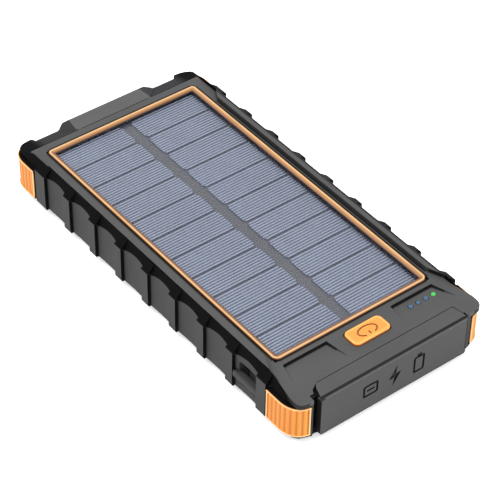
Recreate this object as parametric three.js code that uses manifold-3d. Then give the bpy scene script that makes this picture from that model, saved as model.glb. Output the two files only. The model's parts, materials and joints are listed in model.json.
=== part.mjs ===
// Solar phone charger: a rugged power bank with a solar panel on its deck, a hinged port
// cover at the front and a torch at the back. Millimetres, +X right, +Y back, +Z up.
// The origin is under the middle of the charger, on the surface it stands on.
import * as THREE from 'three';
import { mergeVertices } from 'three/addons/utils/BufferGeometryUtils.js';
import Module from 'manifold-3d';

const wasm = await Module();
wasm.setup();

// ---- driving dimensions -------------------------------------------------------------

const GAP = 0.25; // between pieces that meet
const TALL = 40; // longer than any piece, for cutters

// case, measured from the centre line
const WALL_X = 38.6; // side walls between the ribs
const RIB_X = 40; // outside of the side ribs
const CORNER_Y = 80.9; // front and back of the four case corners
const REAR_WALL_Y = 78.6; // back wall between the corners and the torch
const COVER_Y = -81.8; // outside face of the port cover
const TORCH_Y = 81.8; // back of the torch housing
const BASE_EDGE = 3; // height and inset of the chamfer round the base
const CORNER_HEADINGS = [22.5, 45, 67.5].map(THREE.MathUtils.degToRad); // of the cuts under each bumper
const CORNER_FOOT_INSET = 3.6; // from the outside of the bumper to those cuts at the floor
const CORNER_HEAD_INSET = 0.5; // and just under the bumper
const RIM_Z = 17; // top of the bottom shell
const DECK_Z = 19.4;
const BEZEL_Z = 20;
const RAIL_Z = 21;
const SKIN = 2; // wall thickness of the shells
const INNER_X = 36.4; // inside of the side walls
const INNER_FRONT_Y = -77.2;
const INNER_REAR_Y = 76.6;

// side ribs and the hollow panels between them
const RIB_COUNT = 8;
const RIB_PITCH = 15.42;
const FIRST_RIB_Y = -48.3; // front face of the foremost full rib
const RIB_LENGTH = 3.6;
const RIB_TOP_Z = 18;
const HOLLOW_DEPTH = 0.5; // how far a panel is dished in its middle

// guard band, the dark sloping edge between the deck and the walls
const RAIL_OUTER_X = 36.6;
const RAIL_INNER_X = 34.1;
const BAND_SLOPE = (WALL_X - RAIL_OUTER_X) / (RAIL_Z - RIM_Z); // sideways over height
const DECK_REAR_Y = 73.1;

// solar panel, held down by the lip of its bezel
const PANEL_X = 30.3; // half width of the laminate
const PANEL_FRONT_Y = -58.9;
const PANEL_REAR_Y = 67.8;
const PANEL_FLOOR_Z = 15.8;
const BACKING_TOP_Z = 17.5;
const CELL_Z = [17.6, 17.9];
const SHEET_Z = [18, 18.4];
const CELL_ROWS = 11;
const CELL_PITCH = 11.47;
const CELL_SPACE = 0.7; // between one cell and the next
const CELL_CLIP = 0.9; // cut off a cell's corners beside the bare strip
const CELL_FRONT_Y = -58.04;
const CELL_OUTER_X = 29.7;
const STRIP_HALF = 1.95; // half of the bare strip between the two columns
const BEZEL_WIDTH = 2.3;
const BEZEL_OUTER_X = 32.2;
const BEZEL_FRONT_Y = -60.6;
const BEZEL_REAR_Y = 69.4;

// corner bumpers
const BUMPER_X = 40.4;
const BUMPER_Y = 81.3;
const BUMPER_END_Y = 66; // where a bumper starts on the side wall
const BUMPER_END_X = 33.6; // where it ends on the front or back
const BUMPER_RADIUS = 9;
const BUMPER_WALL = 2;
const BUMPER_LOW_Z = 4;
const BUMPER_HIGH_Z = 16.8;

// port cover and its strap
const COVER_LEFT_X = -30.5;
const COVER_RIGHT_X = 30.9;
const COVER_LOW_Z = 2.7;
const COVER_HIGH_Z = 18.05;
const COVER_WALL = 2.2;
const BAY_LEFT_X = -32.8; // the wider gap here is the finger slot
const BAY_RIGHT_X = 31.2;
const BAY_Y = -79.3; // front of the wall behind the cover
const SLOT_Y = -78.3; // back of the finger slot
const STRAP_REAR_Y = -75.4;
const STRAP_LOW_Z = 17.8;
const SYMBOL_PITCH = 10.2;
const SYMBOL_DEPTH = 0.5;

// button, switch and indicators
const BUTTON_Y = -67.4;
const BUTTON_SIZE = [15.2, 7.3];
const BUTTON_Z = 20.2;
const INDICATOR_COUNT = 4;
const INDICATOR_X = 19.1;
const INDICATOR_PITCH = 3.27;
const INDICATOR_Y = -66.7;
const BOARD_Z = 4.6;
const BOARD_WALL = 1.2;
const BOARD_TOP = BOARD_Z + BOARD_WALL + GAP / 2;

// sockets: centre, outer width and height, depth, wall
const SOCKET_FRONT_Y = -79.1;
const USB_X = 18.5;
const USB_SIZE = [13.1, 5.7, 10.4];
const INPUT_SIZE = [9, 3.4, 7.4];
const SOCKET_WALL = 0.4;

// lanyard bar on the left side
const LANYARD_FRONT_Y = -60;
const LANYARD_REAR_Y = -50;
const LANYARD_LOW_Z = 5.4;
const LANYARD_HIGH_Z = 15.2;
const LANYARD_BAR_Z = [8, 10.8];
const LANYARD_DEPTH_X = -34.4;

// screws
const SCREW_X = 32;
const SCREW_YS = [-40, 62];

// torch
const TORCH_LED_X = 6.5;
const TORCH_Z = 10;
const WINDOW = [26, 9];

// ---- materials ----------------------------------------------------------------------

function finish(color, roughness, metalness = 0) {
  return new THREE.MeshStandardMaterial({ color, roughness, metalness });
}

function clear(color, opacity) {
  return new THREE.MeshStandardMaterial({ color, roughness: 0.1, transparent: true, opacity });
}

const FINISH = {
  deck: finish(0x666666, 0.6),
  wall: finish(0x595959, 0.65),
  guard: finish(0x222224, 0.6),
  orange: finish(0xfb9a45, 0.55),
  bezel: finish(0xe8a368, 0.4),
  cover: finish(0x5c5c5c, 0.75),
  cell: finish(0x6f7690, 0.3, 0.3),
  backing: finish(0x6e6b69, 0.6),
  film: clear(0xf4f6fa, 0.2),
  lens: clear(0xf2f4f8, 0.35),
  lamp: finish(0xfff4c8, 0.4),
  steel: finish(0xb8bcc0, 0.3, 1),
  chrome: finish(0xd8dade, 0.15, 1),
  board: finish(0x1f5a3a, 0.5),
  plastic: finish(0x1b1b1d, 0.5),
  pouch: finish(0xc4c8cc, 0.35, 0.8),
  seal: finish(0x2a2a2a, 0.9),
  green: finish(0x5fc45f, 0.4),
  blue: finish(0x4b6f90, 0.4),
};

// ---- shapes and solids --------------------------------------------------------------

// A closed outline through corners [u, v, rounding].
function outline(corners) {
  const shape = new THREE.Shape();
  const count = corners.length;
  corners.forEach(([u, v, rounding = 0], i) => {
    const corner = new THREE.Vector2(u, v);
    const before = new THREE.Vector2(...corners[(i + count - 1) % count].slice(0, 2));
    const after = new THREE.Vector2(...corners[(i + 1) % count].slice(0, 2));
    const start = corner.clone().add(before.sub(corner).setLength(rounding));
    const end = corner.clone().add(after.sub(corner).setLength(rounding));
    if (i === 0) shape.moveTo(start.x, start.y);
    else shape.lineTo(start.x, start.y);
    if (rounding > 0) shape.quadraticCurveTo(u, v, end.x, end.y);
  });
  shape.closePath();
  return shape;
}

function rectangle(u0, v0, u1, v1, rounding = 0) {
  return outline([[u0, v0, rounding], [u1, v0, rounding], [u1, v1, rounding], [u0, v1, rounding]]);
}

// The same corners on both sides of the centre line, given down the right-hand side.
function mirrored(corners) {
  const left = corners.map(([u, v, rounding = 0]) => [-u, v, rounding]).reverse();
  return outline([...corners, ...left]);
}

function solid(geometry) {
  geometry.deleteAttribute('normal');
  geometry.deleteAttribute('uv');
  const merged = mergeVertices(geometry, 1e-4);
  return new wasm.Manifold(new wasm.Mesh({
    numProp: 3,
    vertProperties: new Float32Array(merged.attributes.position.array),
    triVerts: new Uint32Array(merged.index.array),
  }));
}

function extruded(shape, depth, curveSegments) {
  return new THREE.ExtrudeGeometry(shape, { depth, curveSegments, bevelEnabled: false });
}

// An outline in x and y, from z0 up to z1.
function prismZ(shape, z0, z1, curveSegments = 5) {
  return solid(extruded(shape, z1 - z0, curveSegments).translate(0, 0, z0));
}

// An outline in y and z, from x0 to x1.
function prismX(shape, x0, x1, curveSegments = 5) {
  const turn = new THREE.Matrix4().makeBasis(
    new THREE.Vector3(0, 1, 0),
    new THREE.Vector3(0, 0, 1),
    new THREE.Vector3(1, 0, 0),
  );
  return solid(extruded(shape, x1 - x0, curveSegments).applyMatrix4(turn).translate(x0, 0, 0));
}

// An outline in x and z, from y0 to y1.
function prismY(shape, y0, y1, curveSegments = 5) {
  return solid(extruded(shape, y1 - y0, curveSegments).rotateX(Math.PI / 2).translate(0, y1, 0));
}

// An outline in z and the distance out from the middle in one heading, as wide as the case.
function prismHeading(shape, heading) {
  const turn = new THREE.Matrix4().makeBasis(
    new THREE.Vector3(Math.cos(heading), Math.sin(heading), 0),
    new THREE.Vector3(0, 0, 1),
    new THREE.Vector3(Math.sin(heading), -Math.cos(heading), 0),
  );
  return solid(extruded(shape, TALL * 6, 1).translate(0, 0, -TALL * 3).applyMatrix4(turn));
}

function box(x0, y0, z0, x1, y1, z1) {
  return prismZ(rectangle(x0, y0, x1, y1), z0, z1);
}

function peg(x, y, radius, z0, z1, sides = 20) {
  const geometry = new THREE.CylinderGeometry(radius, radius, z1 - z0, sides);
  return solid(geometry.rotateX(Math.PI / 2).translate(x, y, (z0 + z1) / 2));
}

function joined(...solids) {
  return solids.reduce((whole, next) => whole.add(next));
}

function without(whole, ...cutters) {
  return cutters.reduce((rest, cutter) => rest.subtract(cutter), whole);
}

function common(...solids) {
  return solids.reduce((whole, next) => whole.intersect(next));
}

const charger = new THREE.Group();

function place(name, manifold, material) {
  const { vertProperties, triVerts } = manifold.getMesh();
  const geometry = new THREE.BufferGeometry();
  geometry.setAttribute('position', new THREE.BufferAttribute(vertProperties, 3));
  geometry.setIndex(new THREE.BufferAttribute(triVerts, 1));
  geometry.computeVertexNormals();
  const mesh = new THREE.Mesh(geometry, material);
  mesh.name = name;
  charger.add(mesh);
}

// ---- outlines that several pieces share ---------------------------------------------

// Plan of the walls: front corners, posts at the back corners, torch housing.
function casePlan() {
  return mirrored([
    [WALL_X, -CORNER_Y, 8],
    [WALL_X, CORNER_Y, 6.5],
    [31.2, CORNER_Y, 0.8],
    [30.8, REAR_WALL_Y, 0],
    [21.4, REAR_WALL_Y, 0],
    [17, TORCH_Y, 1],
  ]);
}

function cavityPlan(inset = 0) {
  return mirrored([
    [INNER_X - inset, INNER_FRONT_Y + inset, 6],
    [INNER_X - inset, INNER_REAR_Y - inset, 6],
  ]);
}

// Plan of the deck: straight beside the rails, flaring out over the front bumpers.
function deckPlan(grow = 0) {
  return mirrored([
    [38.1 + grow, -80.7 - grow, 3],
    [38.4 + grow, -76, 1.5],
    [36.4 + grow, -66, 3],
    [RAIL_OUTER_X + grow, -60, 0],
    [RAIL_OUTER_X + grow, DECK_REAR_Y + grow, 0.6],
  ]);
}

function lowerPlan(grow = 0) {
  return mirrored([
    [34.6 + grow, -75.4 - grow, 4],
    [34.6 + grow, 74.8 + grow, 4],
  ]);
}

// Front and back of every hollow panel on the side walls.
function panelSpans() {
  const spans = [[-60.7, FIRST_RIB_Y]];
  for (let i = 0; i < RIB_COUNT - 1; i += 1) {
    const front = FIRST_RIB_Y + i * RIB_PITCH;
    spans.push([front + RIB_LENGTH, front + RIB_PITCH]);
  }
  return spans;
}

function ribSpans() {
  const spans = [[-BUMPER_END_Y + 0.6, -60.7]];
  for (let i = 0; i < RIB_COUNT; i += 1) {
    const front = FIRST_RIB_Y + i * RIB_PITCH;
    const last = i === RIB_COUNT - 1;
    spans.push([front, last ? BUMPER_END_Y - 0.6 : front + RIB_LENGTH]);
  }
  return spans;
}

// The dished part of one panel, as a cutter beside the right-hand wall.
function hollow([front, rear], side) {
  const shape = new THREE.Shape();
  const far = WALL_X + 1;
  shape.moveTo(side * far, front);
  shape.lineTo(side * WALL_X, front);
  shape.quadraticCurveTo(side * (WALL_X - 2 * HOLLOW_DEPTH), (front + rear) / 2, side * WALL_X, rear);
  shape.lineTo(side * far, rear);
  shape.closePath();
  return prismZ(shape, -1, TALL, 8);
}

// The arched tongue that a panel raises into the guard band.
function tongueShape([front, rear], lift) {
  const rise = HOLLOW_DEPTH / BAND_SLOPE;
  const shape = new THREE.Shape();
  shape.moveTo(front, RIM_Z - 1);
  shape.lineTo(front, RIM_Z + lift);
  shape.quadraticCurveTo((front + rear) / 2, RIM_Z + lift + 2 * rise, rear, RIM_Z + lift);
  shape.lineTo(rear, RIM_Z - 1);
  shape.closePath();
  return shape;
}

// Sideways span [x0, x1] on the given side.
function spanX(side, near, far) {
  return side > 0 ? [near, far] : [-far, -near];
}

// ---- shells -------------------------------------------------------------------------

// Section across the case, with the chamfered base and the slope of the guard band.
function crossSection() {
  return mirrored([
    [WALL_X - BASE_EDGE, 0, 0],
    [WALL_X, BASE_EDGE, 0],
    [WALL_X, RIM_Z, 0],
    [RAIL_OUTER_X, RAIL_Z, 0],
  ]);
}

// Section along the case: chamfered base, sloping back edge.
function longSection() {
  return outline([
    [-CORNER_Y + BASE_EDGE, 0], [TORCH_Y - BASE_EDGE, 0],
    [TORCH_Y, BASE_EDGE], [TORCH_Y, RIM_Z + 0.2],
    [DECK_REAR_Y, DECK_Z], [DECK_REAR_Y - 4, RAIL_Z], [-CORNER_Y, RAIL_Z], [-CORNER_Y, BASE_EDGE],
  ]);
}

function caseBody() {
  const body = common(
    prismZ(casePlan(), 0, RAIL_Z),
    prismY(crossSection(), -TALL * 3, TALL * 3),
    prismX(longSection(), -TALL * 2, TALL * 2),
  );
  const hollows = [-1, 1].flatMap((side) => panelSpans().map((span) => hollow(span, side)));
  return without(body, ...hollows);
}

// The room a corner bumper takes, or the bumper itself when grow is 0.
function bumper(sideX, sideY, grow = 0) {
  const plan = (reach) => {
    const corner = [sideX * (BUMPER_X - reach), sideY * (BUMPER_Y - reach), BUMPER_RADIUS - reach];
    return outline([[0, corner[1]], corner, [corner[0], 0], [0, 0]]);
  };
  const low = BUMPER_LOW_Z - grow;
  const high = BUMPER_HIGH_Z + grow;
  const skin = without(
    prismZ(plan(-grow * 4), low, high, 12),
    prismZ(plan(BUMPER_WALL + grow), low - 1, high + 1, 12),
  );
  const [x0, x1] = spanX(sideX, BUMPER_END_X - grow, TALL * 2);
  const [y0, y1] = spanX(sideY, BUMPER_END_Y - grow, TALL * 3);
  return common(skin, box(x0, y0, 0, x1, y1, TALL));
}

const CORNERS = [-1, 1].flatMap((sideY) => [-1, 1].map((sideX) => [sideX, sideY]));

// Cuts that round off the base at each corner and slope in below the bumper.
function cornerCuts() {
  const high = BUMPER_LOW_Z - GAP;
  return CORNERS.flatMap(([sideX, sideY]) => CORNER_HEADINGS.map((heading) => {
    const across = Math.cos(heading);
    const along = Math.sin(heading);
    const share = along / (across + along);
    const x = BUMPER_X - BUMPER_RADIUS * share ** 2;
    const y = BUMPER_Y - BUMPER_RADIUS * (1 - share) ** 2;
    const outside = x * across + y * along;
    const slope = outline([
      [outside - CORNER_FOOT_INSET, 0], [outside - CORNER_FOOT_INSET, -GAP], [outside + TALL, -GAP],
      [outside + TALL, high], [outside - CORNER_HEAD_INSET, high],
    ]);
    return prismHeading(slope, Math.atan2(sideY * along, sideX * across));
  }));
}

// The room the port cover takes in front of the case, deeper at the finger slot.
function coverBay() {
  return joined(
    box(BAY_LEFT_X, -TALL * 3, -1, BAY_RIGHT_X, BAY_Y, TALL),
    box(BAY_LEFT_X, -TALL * 3, -1, COVER_LEFT_X + 1, SLOT_Y, TALL),
  );
}

function sideRibs() {
  const section = (side) => outline([
    [side * (WALL_X - 1), BASE_EDGE], [side * (RIB_X - 0.5), BASE_EDGE], [side * RIB_X, BASE_EDGE + 0.8],
    [side * RIB_X, RIB_TOP_Z], [side * (WALL_X + GAP), RIB_TOP_Z],
    [side * (WALL_X + GAP), RIM_Z - 0.3], [side * (WALL_X - 1), RIM_Z - 0.3],
  ]);
  return [-1, 1].flatMap((side) => ribSpans().map(([front, rear]) => prismY(section(side), front, rear)));
}

function sideTongues(lift, near) {
  return [-1, 1].flatMap((side) => panelSpans().map((span) => {
    const [x0, x1] = spanX(side, near, WALL_X + 1);
    return prismX(tongueShape(span, lift), x0, x1, 8);
  }));
}

function socketHoles() {
  const hole = (x, [width, height]) => {
    const z = BOARD_TOP + height / 2;
    const half = [width / 2 + GAP, height / 2 + GAP];
    return prismY(rectangle(x - half[0], z - half[1], x + half[0], z + half[1]), -TALL * 3, -70);
  };
  return [hole(-USB_X, USB_SIZE), hole(0, INPUT_SIZE), hole(USB_X, USB_SIZE)];
}

function lanyardBar() {
  const section = rectangle(-RIB_X + 0.1, LANYARD_BAR_Z[0], -37.2, LANYARD_BAR_Z[1], 0.8);
  return prismY(section, LANYARD_FRONT_Y - 1, LANYARD_REAR_Y + 1.4);
}

function lanyardRecess() {
  const recess = prismX(
    rectangle(LANYARD_FRONT_Y, LANYARD_LOW_Z, LANYARD_REAR_Y, LANYARD_HIGH_Z, 1),
    -TALL * 2,
    LANYARD_DEPTH_X,
  );
  return recess.subtract(lanyardBar());
}

// Walls that carry the lanyard recess through the inside of the case.
function lanyardBox(grow = 0) {
  const wall = 1.3 + grow;
  return box(
    -INNER_X - 1, LANYARD_FRONT_Y - wall, LANYARD_LOW_Z - wall,
    LANYARD_DEPTH_X + wall, LANYARD_REAR_Y + wall, LANYARD_HIGH_Z + 0.7 + grow,
  );
}

function bottomShell() {
  const walls = common(caseBody(), box(-TALL * 2, -TALL * 3, 0, TALL * 2, TALL * 3, RIM_Z));
  const tongues = sideTongues(0, WALL_X - 1.2).map((tongue) => common(tongue, caseBody()));
  const cavity = prismZ(cavityPlan(), SKIN, TALL);
  const torchRoom = box(-15.5, 70, 4, 15.5, TORCH_Y - SKIN, TALL);
  const bosses = [-1, 1].flatMap((side) => SCREW_YS.map((y) => peg(side * SCREW_X, y, 3.6, 1, 4.3)));
  const heads = [-1, 1].flatMap((side) => SCREW_YS.map((y) => peg(side * SCREW_X, y, 2.8, -1, 2.3)));
  const bores = [-1, 1].flatMap((side) => SCREW_YS.map((y) => peg(side * SCREW_X, y, 1.35, -1, 5)));
  const [width, height] = WINDOW;
  const window = prismY(
    rectangle(-width / 2, TORCH_Z - height / 2, width / 2, TORCH_Z + height / 2, 1.5),
    70,
    TALL * 3,
  );
  const shell = without(walls, cavity, torchRoom);
  const hull = joined(shell, ...tongues, ...sideRibs(), ...bosses, lanyardBox(), lanyardBar());
  return without(
    hull, lanyardRecess(), coverBay(), window, ...socketHoles(), ...heads, ...bores, ...cornerCuts(),
    ...CORNERS.map(([sideX, sideY]) => bumper(sideX, sideY, GAP)),
  );
}

// The sloping room over the torch that its hood fills.
function hoodBody(grow = 0) {
  const across = mirrored([
    [20.4 + 5 * grow, RIM_Z + 0.9 - grow, 0],
    [17.6 + 4 * grow, 18.4 + grow, 1],
    [14.4 + 3 * grow, 19.2 + grow, 1],
  ]);
  const along = outline([
    [DECK_REAR_Y + 0.5 - grow, RIM_Z + 0.9 - grow], [TORCH_Y - 0.3 + grow * 9, RIM_Z + 0.9 - grow],
    [TORCH_Y - 1.2 + grow * 9, 19 + grow, 0.4], [DECK_REAR_Y + 0.5 - grow, 19.2 + grow],
  ]);
  return common(prismY(across, 60, 90), prismX(along, -TALL, TALL));
}

function guardBand() {
  const low = RIM_Z + GAP;
  const slab = box(-TALL * 2, -TALL * 3, low, TALL * 2, TALL * 3, TALL);
  const high = RAIL_Z - 0.4;
  const fin = (side) => outline([
    [side * RAIL_OUTER_X, low], [side * (WALL_X - 0.1), low],
    [side * (WALL_X - 0.1), RIB_TOP_Z + GAP], [side * RIB_X, RIB_TOP_Z + GAP],
    [side * (RAIL_OUTER_X + 0.4), high], [side * RAIL_OUTER_X, high],
  ]);
  const fins = [-1, 1].flatMap((side) => ribSpans().map(([front, rear]) => prismY(fin(side), front, rear)));
  const band = without(
    joined(common(caseBody(), slab), ...fins),
    prismZ(deckPlan(GAP), 0, TALL),
    ...sideTongues(GAP, RAIL_OUTER_X),
  );
  const frontOpen = box(-34.5, -TALL * 3, 0, 34.5, -70, TALL);
  return without(band, frontOpen, hoodBody(GAP));
}

function rails() {
  return [-1, 1].map((side) => prismZ(outline([
    [side * RAIL_OUTER_X, 61.5], [side * RAIL_INNER_X, 57.5, 1],
    [side * RAIL_INNER_X, -57.6, 2], [side * RAIL_OUTER_X, -63.4],
  ]), RIM_Z + 1, RAIL_Z));
}

// Shallow pads beside the button, deepest at the back and running out at the front.
function deckPads() {
  const fade = prismX(outline([[-63, 18.5], [-72.6, DECK_Z], [-72.6, TALL], [-63, TALL]]), -TALL, TALL);
  return [-1, 1].map((side) => common(fade, prismZ(outline([
    [side * 13.4, -63, 0.6], [side * 31.2, -63, 0.6], [side * 34.2, -72.6], [side * 12, -72.6],
  ]), 10, TALL)));
}

// Room for the strap of the port cover, with the finger slot at its left end.
function strapBay() {
  const plan = outline([
    [-27.3, STRAP_REAR_Y + GAP], [-30.5, -76.9, 1], [BAY_LEFT_X, -82.5],
    [31.2, -82.5], [29.8, STRAP_REAR_Y + GAP],
  ]);
  return prismZ(plan, STRAP_LOW_Z - GAP, TALL);
}

function topShell() {
  const deck = prismZ(deckPlan(), RIM_Z + GAP, DECK_Z);
  const frontSlope = prismX(
    outline([[-75.2, DECK_Z], [COVER_Y - 1, 18.85], [COVER_Y - 1, TALL], [-75.2, TALL]]),
    -TALL * 2,
    TALL * 2,
  );
  const block = joined(
    prismZ(lowerPlan(), 14.4, RIM_Z),
    common(prismZ(lowerPlan(), RIM_Z - 1, RIM_Z + 1), prismZ(deckPlan(), 0, TALL)),
  );
  const bosses = [-1, 1].flatMap((side) => SCREW_YS.map((y) => peg(side * SCREW_X, y, 2.5, 4.6, 15)));
  const bores = [-1, 1].flatMap((side) => SCREW_YS.map((y) => peg(side * SCREW_X, y, 1.35, 4, 13)));
  const panelRoom = box(
    -BEZEL_OUTER_X - GAP, BEZEL_FRONT_Y - GAP, PANEL_FLOOR_Z,
    BEZEL_OUTER_X + GAP, BEZEL_REAR_Y + GAP, TALL,
  );
  const frontRoom = box(-33, INNER_FRONT_Y - 1, 10, 33, -62.6, 17.2);
  const torchRoom = box(-15.5, 70.6, 10, 15.5, 90, 17.2);
  const [width, depth] = BUTTON_SIZE.map((size) => size / 2 + GAP);
  const buttonHole = prismZ(
    rectangle(-width, BUTTON_Y - depth, width, BUTTON_Y + depth, 2.2),
    10,
    TALL,
  );
  const indicatorHoles = indicatorXs().map((x) => peg(x, INDICATOR_Y, 1.05, 10, TALL, 16));
  return without(
    joined(deck, ...rails(), block, ...bosses),
    frontSlope, panelRoom, frontRoom, torchRoom, buttonHole, coverBay(), strapBay(),
    ...deckPads(), ...indicatorHoles, ...bores, lanyardBox(GAP), hoodBody(GAP),
  );
}

function caseSeal() {
  const ring = without(prismZ(cavityPlan(0.2), 16.2, 16.95), prismZ(lowerPlan(GAP), 10, TALL));
  return without(ring, lanyardBox(GAP));
}

place('bottom_shell', bottomShell(), FINISH.wall);
place('top_shell', topShell(), FINISH.deck);
place('guard_band', guardBand(), FINISH.guard);
place('torch_hood', common(hoodBody(), prismZ(casePlan(), 0, TALL)), FINISH.deck);
place('case_seal', caseSeal(), FINISH.seal);
for (const [sideX, sideY] of CORNERS) {
  const name = `${sideY < 0 ? 'front' : 'rear'}_${sideX < 0 ? 'left' : 'right'}`;
  place(`corner_bumper_${name}`, bumper(sideX, sideY), FINISH.orange);
}

// ---- screws -------------------------------------------------------------------------

function caseScrew(x, y) {
  const head = joined(peg(x, y, 2.5, 0.6, 2.1), peg(x, y, 1.1, 2, 12, 12));
  const slot = joined(
    box(x - 1.4, y - 0.25, 0, x + 1.4, y + 0.25, 1.3),
    box(x - 0.25, y - 1.4, 0, x + 0.25, y + 1.4, 1.3),
  );
  return head.subtract(slot);
}

SCREW_YS.forEach((y, row) => {
  for (const side of [-1, 1]) {
    place(`case_screw_${row * 2 + (side < 0 ? 1 : 2)}`, caseScrew(side * SCREW_X, y), FINISH.steel);
  }
});

// ---- solar panel --------------------------------------------------------------------

function bezelRing() {
  const outer = mirrored([[BEZEL_OUTER_X, BEZEL_FRONT_Y, 2.4], [BEZEL_OUTER_X, BEZEL_REAR_Y, 1.6]]);
  const inner = mirrored([
    [BEZEL_OUTER_X - BEZEL_WIDTH, BEZEL_FRONT_Y + BEZEL_WIDTH, 0.6],
    [BEZEL_OUTER_X - BEZEL_WIDTH, BEZEL_REAR_Y - BEZEL_WIDTH, 0.6],
  ]);
  const rebate = box(
    -PANEL_X - GAP, PANEL_FRONT_Y - GAP, 0,
    PANEL_X + GAP, PANEL_REAR_Y + GAP, SHEET_Z[1] + GAP,
  );
  return without(prismZ(outer, PANEL_FLOOR_Z + GAP, BEZEL_Z), prismZ(inner, 0, TALL), rebate);
}

function solarCell(column, row) {
  const front = CELL_FRONT_Y + row * CELL_PITCH;
  const rear = front + CELL_PITCH - CELL_SPACE;
  const near = column * STRIP_HALF;
  const clipped = column * (STRIP_HALF + CELL_CLIP);
  const far = column * CELL_OUTER_X;
  const shape = outline([
    [clipped, front], [far, front], [far, rear],
    [clipped, rear], [near, rear - CELL_CLIP], [near, front + CELL_CLIP],
  ]);
  return prismZ(shape, ...CELL_Z);
}

// A flat layer of the laminate, as large as the whole panel.
function panelLayer(z0, z1) {
  return box(-PANEL_X, PANEL_FRONT_Y, z0, PANEL_X, PANEL_REAR_Y, z1);
}

place('bezel_ring', bezelRing(), FINISH.bezel);
place('solar_backing', panelLayer(PANEL_FLOOR_Z + GAP, BACKING_TOP_Z), FINISH.backing);
place('solar_cover_sheet', panelLayer(...SHEET_Z), FINISH.film);
for (const column of [-1, 1]) {
  for (let row = 0; row < CELL_ROWS; row += 1) {
    const name = `solar_cell_${column < 0 ? 'left' : 'right'}_${row + 1}`;
    place(name, solarCell(column, row), FINISH.cell);
  }
}

// ---- port cover ---------------------------------------------------------------------

// A frame of rectangular lines, used by the symbols.
function frame(x0, z0, x1, z1, line) {
  const outer = prismY(rectangle(x0, z0, x1, z1, 1), COVER_Y - 1, COVER_Y + SYMBOL_DEPTH, 3);
  const inner = rectangle(x0 + line, z0 + line, x1 - line, z1 - line, 0.4);
  return outer.subtract(prismY(inner, COVER_Y - 2, COVER_Y + 1, 3));
}

function bar(x0, z0, x1, z1) {
  return prismY(rectangle(x0, z0, x1, z1), COVER_Y - 1, COVER_Y + SYMBOL_DEPTH);
}

// Three plain pictograms: a socket, a lightning flash and a battery.
function coverSymbols() {
  const line = 0.9;
  const left = -SYMBOL_PITCH;
  const right = SYMBOL_PITCH;
  const socket = joined(
    frame(left - 3.2, 8.4, left + 3.2, 13.6, line),
    bar(left - 1.6, 10.6, left + 1.6, 11.4),
  );
  const flash = prismY(outline([
    [0.9, 15.4], [-2.6, 10.2], [-0.3, 10.2], [-0.9, 6.6], [2.6, 11.8], [0.3, 11.8],
  ]), COVER_Y - 1, COVER_Y + SYMBOL_DEPTH);
  const battery = joined(frame(right - 2.4, 6.8, right + 2.4, 14, line), bar(right - 1, 14, right + 1, 15));
  return [socket, flash, battery];
}

function portCover() {
  const face = outline([
    [COVER_LEFT_X, COVER_LOW_Z, 0.8], [COVER_RIGHT_X, COVER_LOW_Z, 0.8],
    [COVER_RIGHT_X, COVER_HIGH_Z, 0.3], [COVER_LEFT_X, COVER_HIGH_Z, 0.3],
  ]);
  const back = COVER_Y + COVER_WALL;
  const door = prismY(face, COVER_Y, back, 3);
  const plug = (x, [width, height]) => {
    const z = BOARD_TOP + height / 2;
    const half = [width / 2 - SOCKET_WALL - 0.5, height / 2 - SOCKET_WALL - 0.7];
    return box(x - half[0], back - 0.5, z - half[1], x + half[0], back + 1.6, z + half[1]);
  };
  const plugs = [plug(-USB_X, USB_SIZE), plug(USB_X, USB_SIZE)];
  return without(joined(door, ...plugs), ...coverSymbols());
}

// The fixed end of the cover: it lies on the deck and ends in the thin hinge lip.
function coverStrap() {
  const plan = outline([
    [-27.7, STRAP_REAR_Y], [-28.9, -76.8, 0.6], [-30.4, COVER_Y + 0.15],
    [COVER_RIGHT_X, COVER_Y + 0.15], [29.5, STRAP_REAR_Y],
  ]);
  const profile = outline([
    [STRAP_REAR_Y, STRAP_LOW_Z], [STRAP_REAR_Y, DECK_Z - 0.02], [COVER_Y + 0.15, 18.93],
    [COVER_Y + 0.15, 18.6], [BAY_Y + 0.4, 18.6], [BAY_Y + 0.4, STRAP_LOW_Z],
  ]);
  return common(prismZ(plan, 0, TALL), prismX(profile, -TALL, TALL));
}

place('port_cover', portCover(), FINISH.cover);
place('port_cover_strap', coverStrap(), FINISH.cover);

// ---- button, switch and indicators --------------------------------------------------

function indicatorXs() {
  return Array.from({ length: INDICATOR_COUNT }, (_, i) => INDICATOR_X + i * INDICATOR_PITCH);
}

// The power symbol: an open oval with a short bar in its gap, towards the front.
function powerSymbol() {
  const ring = new THREE.Shape();
  ring.absellipse(0, BUTTON_Y, 3.8, 2.2, 0, Math.PI * 2);
  const hole = new THREE.Shape();
  hole.absellipse(0, BUTTON_Y, 3.3, 1.7, 0, Math.PI * 2);
  const low = BUTTON_Z - 0.3;
  const opening = box(-1.1, BUTTON_Y - 3, 0, 1.1, BUTTON_Y - 1, TALL);
  const stroke = box(-0.25, BUTTON_Y - 2.3, low, 0.25, BUTTON_Y - 0.5, TALL);
  return joined(without(prismZ(ring, low, TALL, 12), prismZ(hole, 0, TALL, 12), opening), stroke);
}

function powerButton() {
  const [width, depth] = BUTTON_SIZE.map((size) => size / 2);
  const cap = prismZ(rectangle(-width, BUTTON_Y - depth, width, BUTTON_Y + depth, 2), 15.8, BUTTON_Z);
  const flange = box(-width - 1, BUTTON_Y - 4.3, 15.8, width + 1, BUTTON_Y + 4.3, 16.8);
  const stem = peg(0, BUTTON_Y, 1.5, 9.7, 16, 16);
  return joined(cap, flange, stem).subtract(powerSymbol());
}

function powerSwitch() {
  const body = box(-3, BUTTON_Y - 3, BOARD_TOP, 3, BUTTON_Y + 3, 9);
  return body.subtract(peg(0, BUTTON_Y, 2, 7.4, TALL, 16));
}

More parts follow.
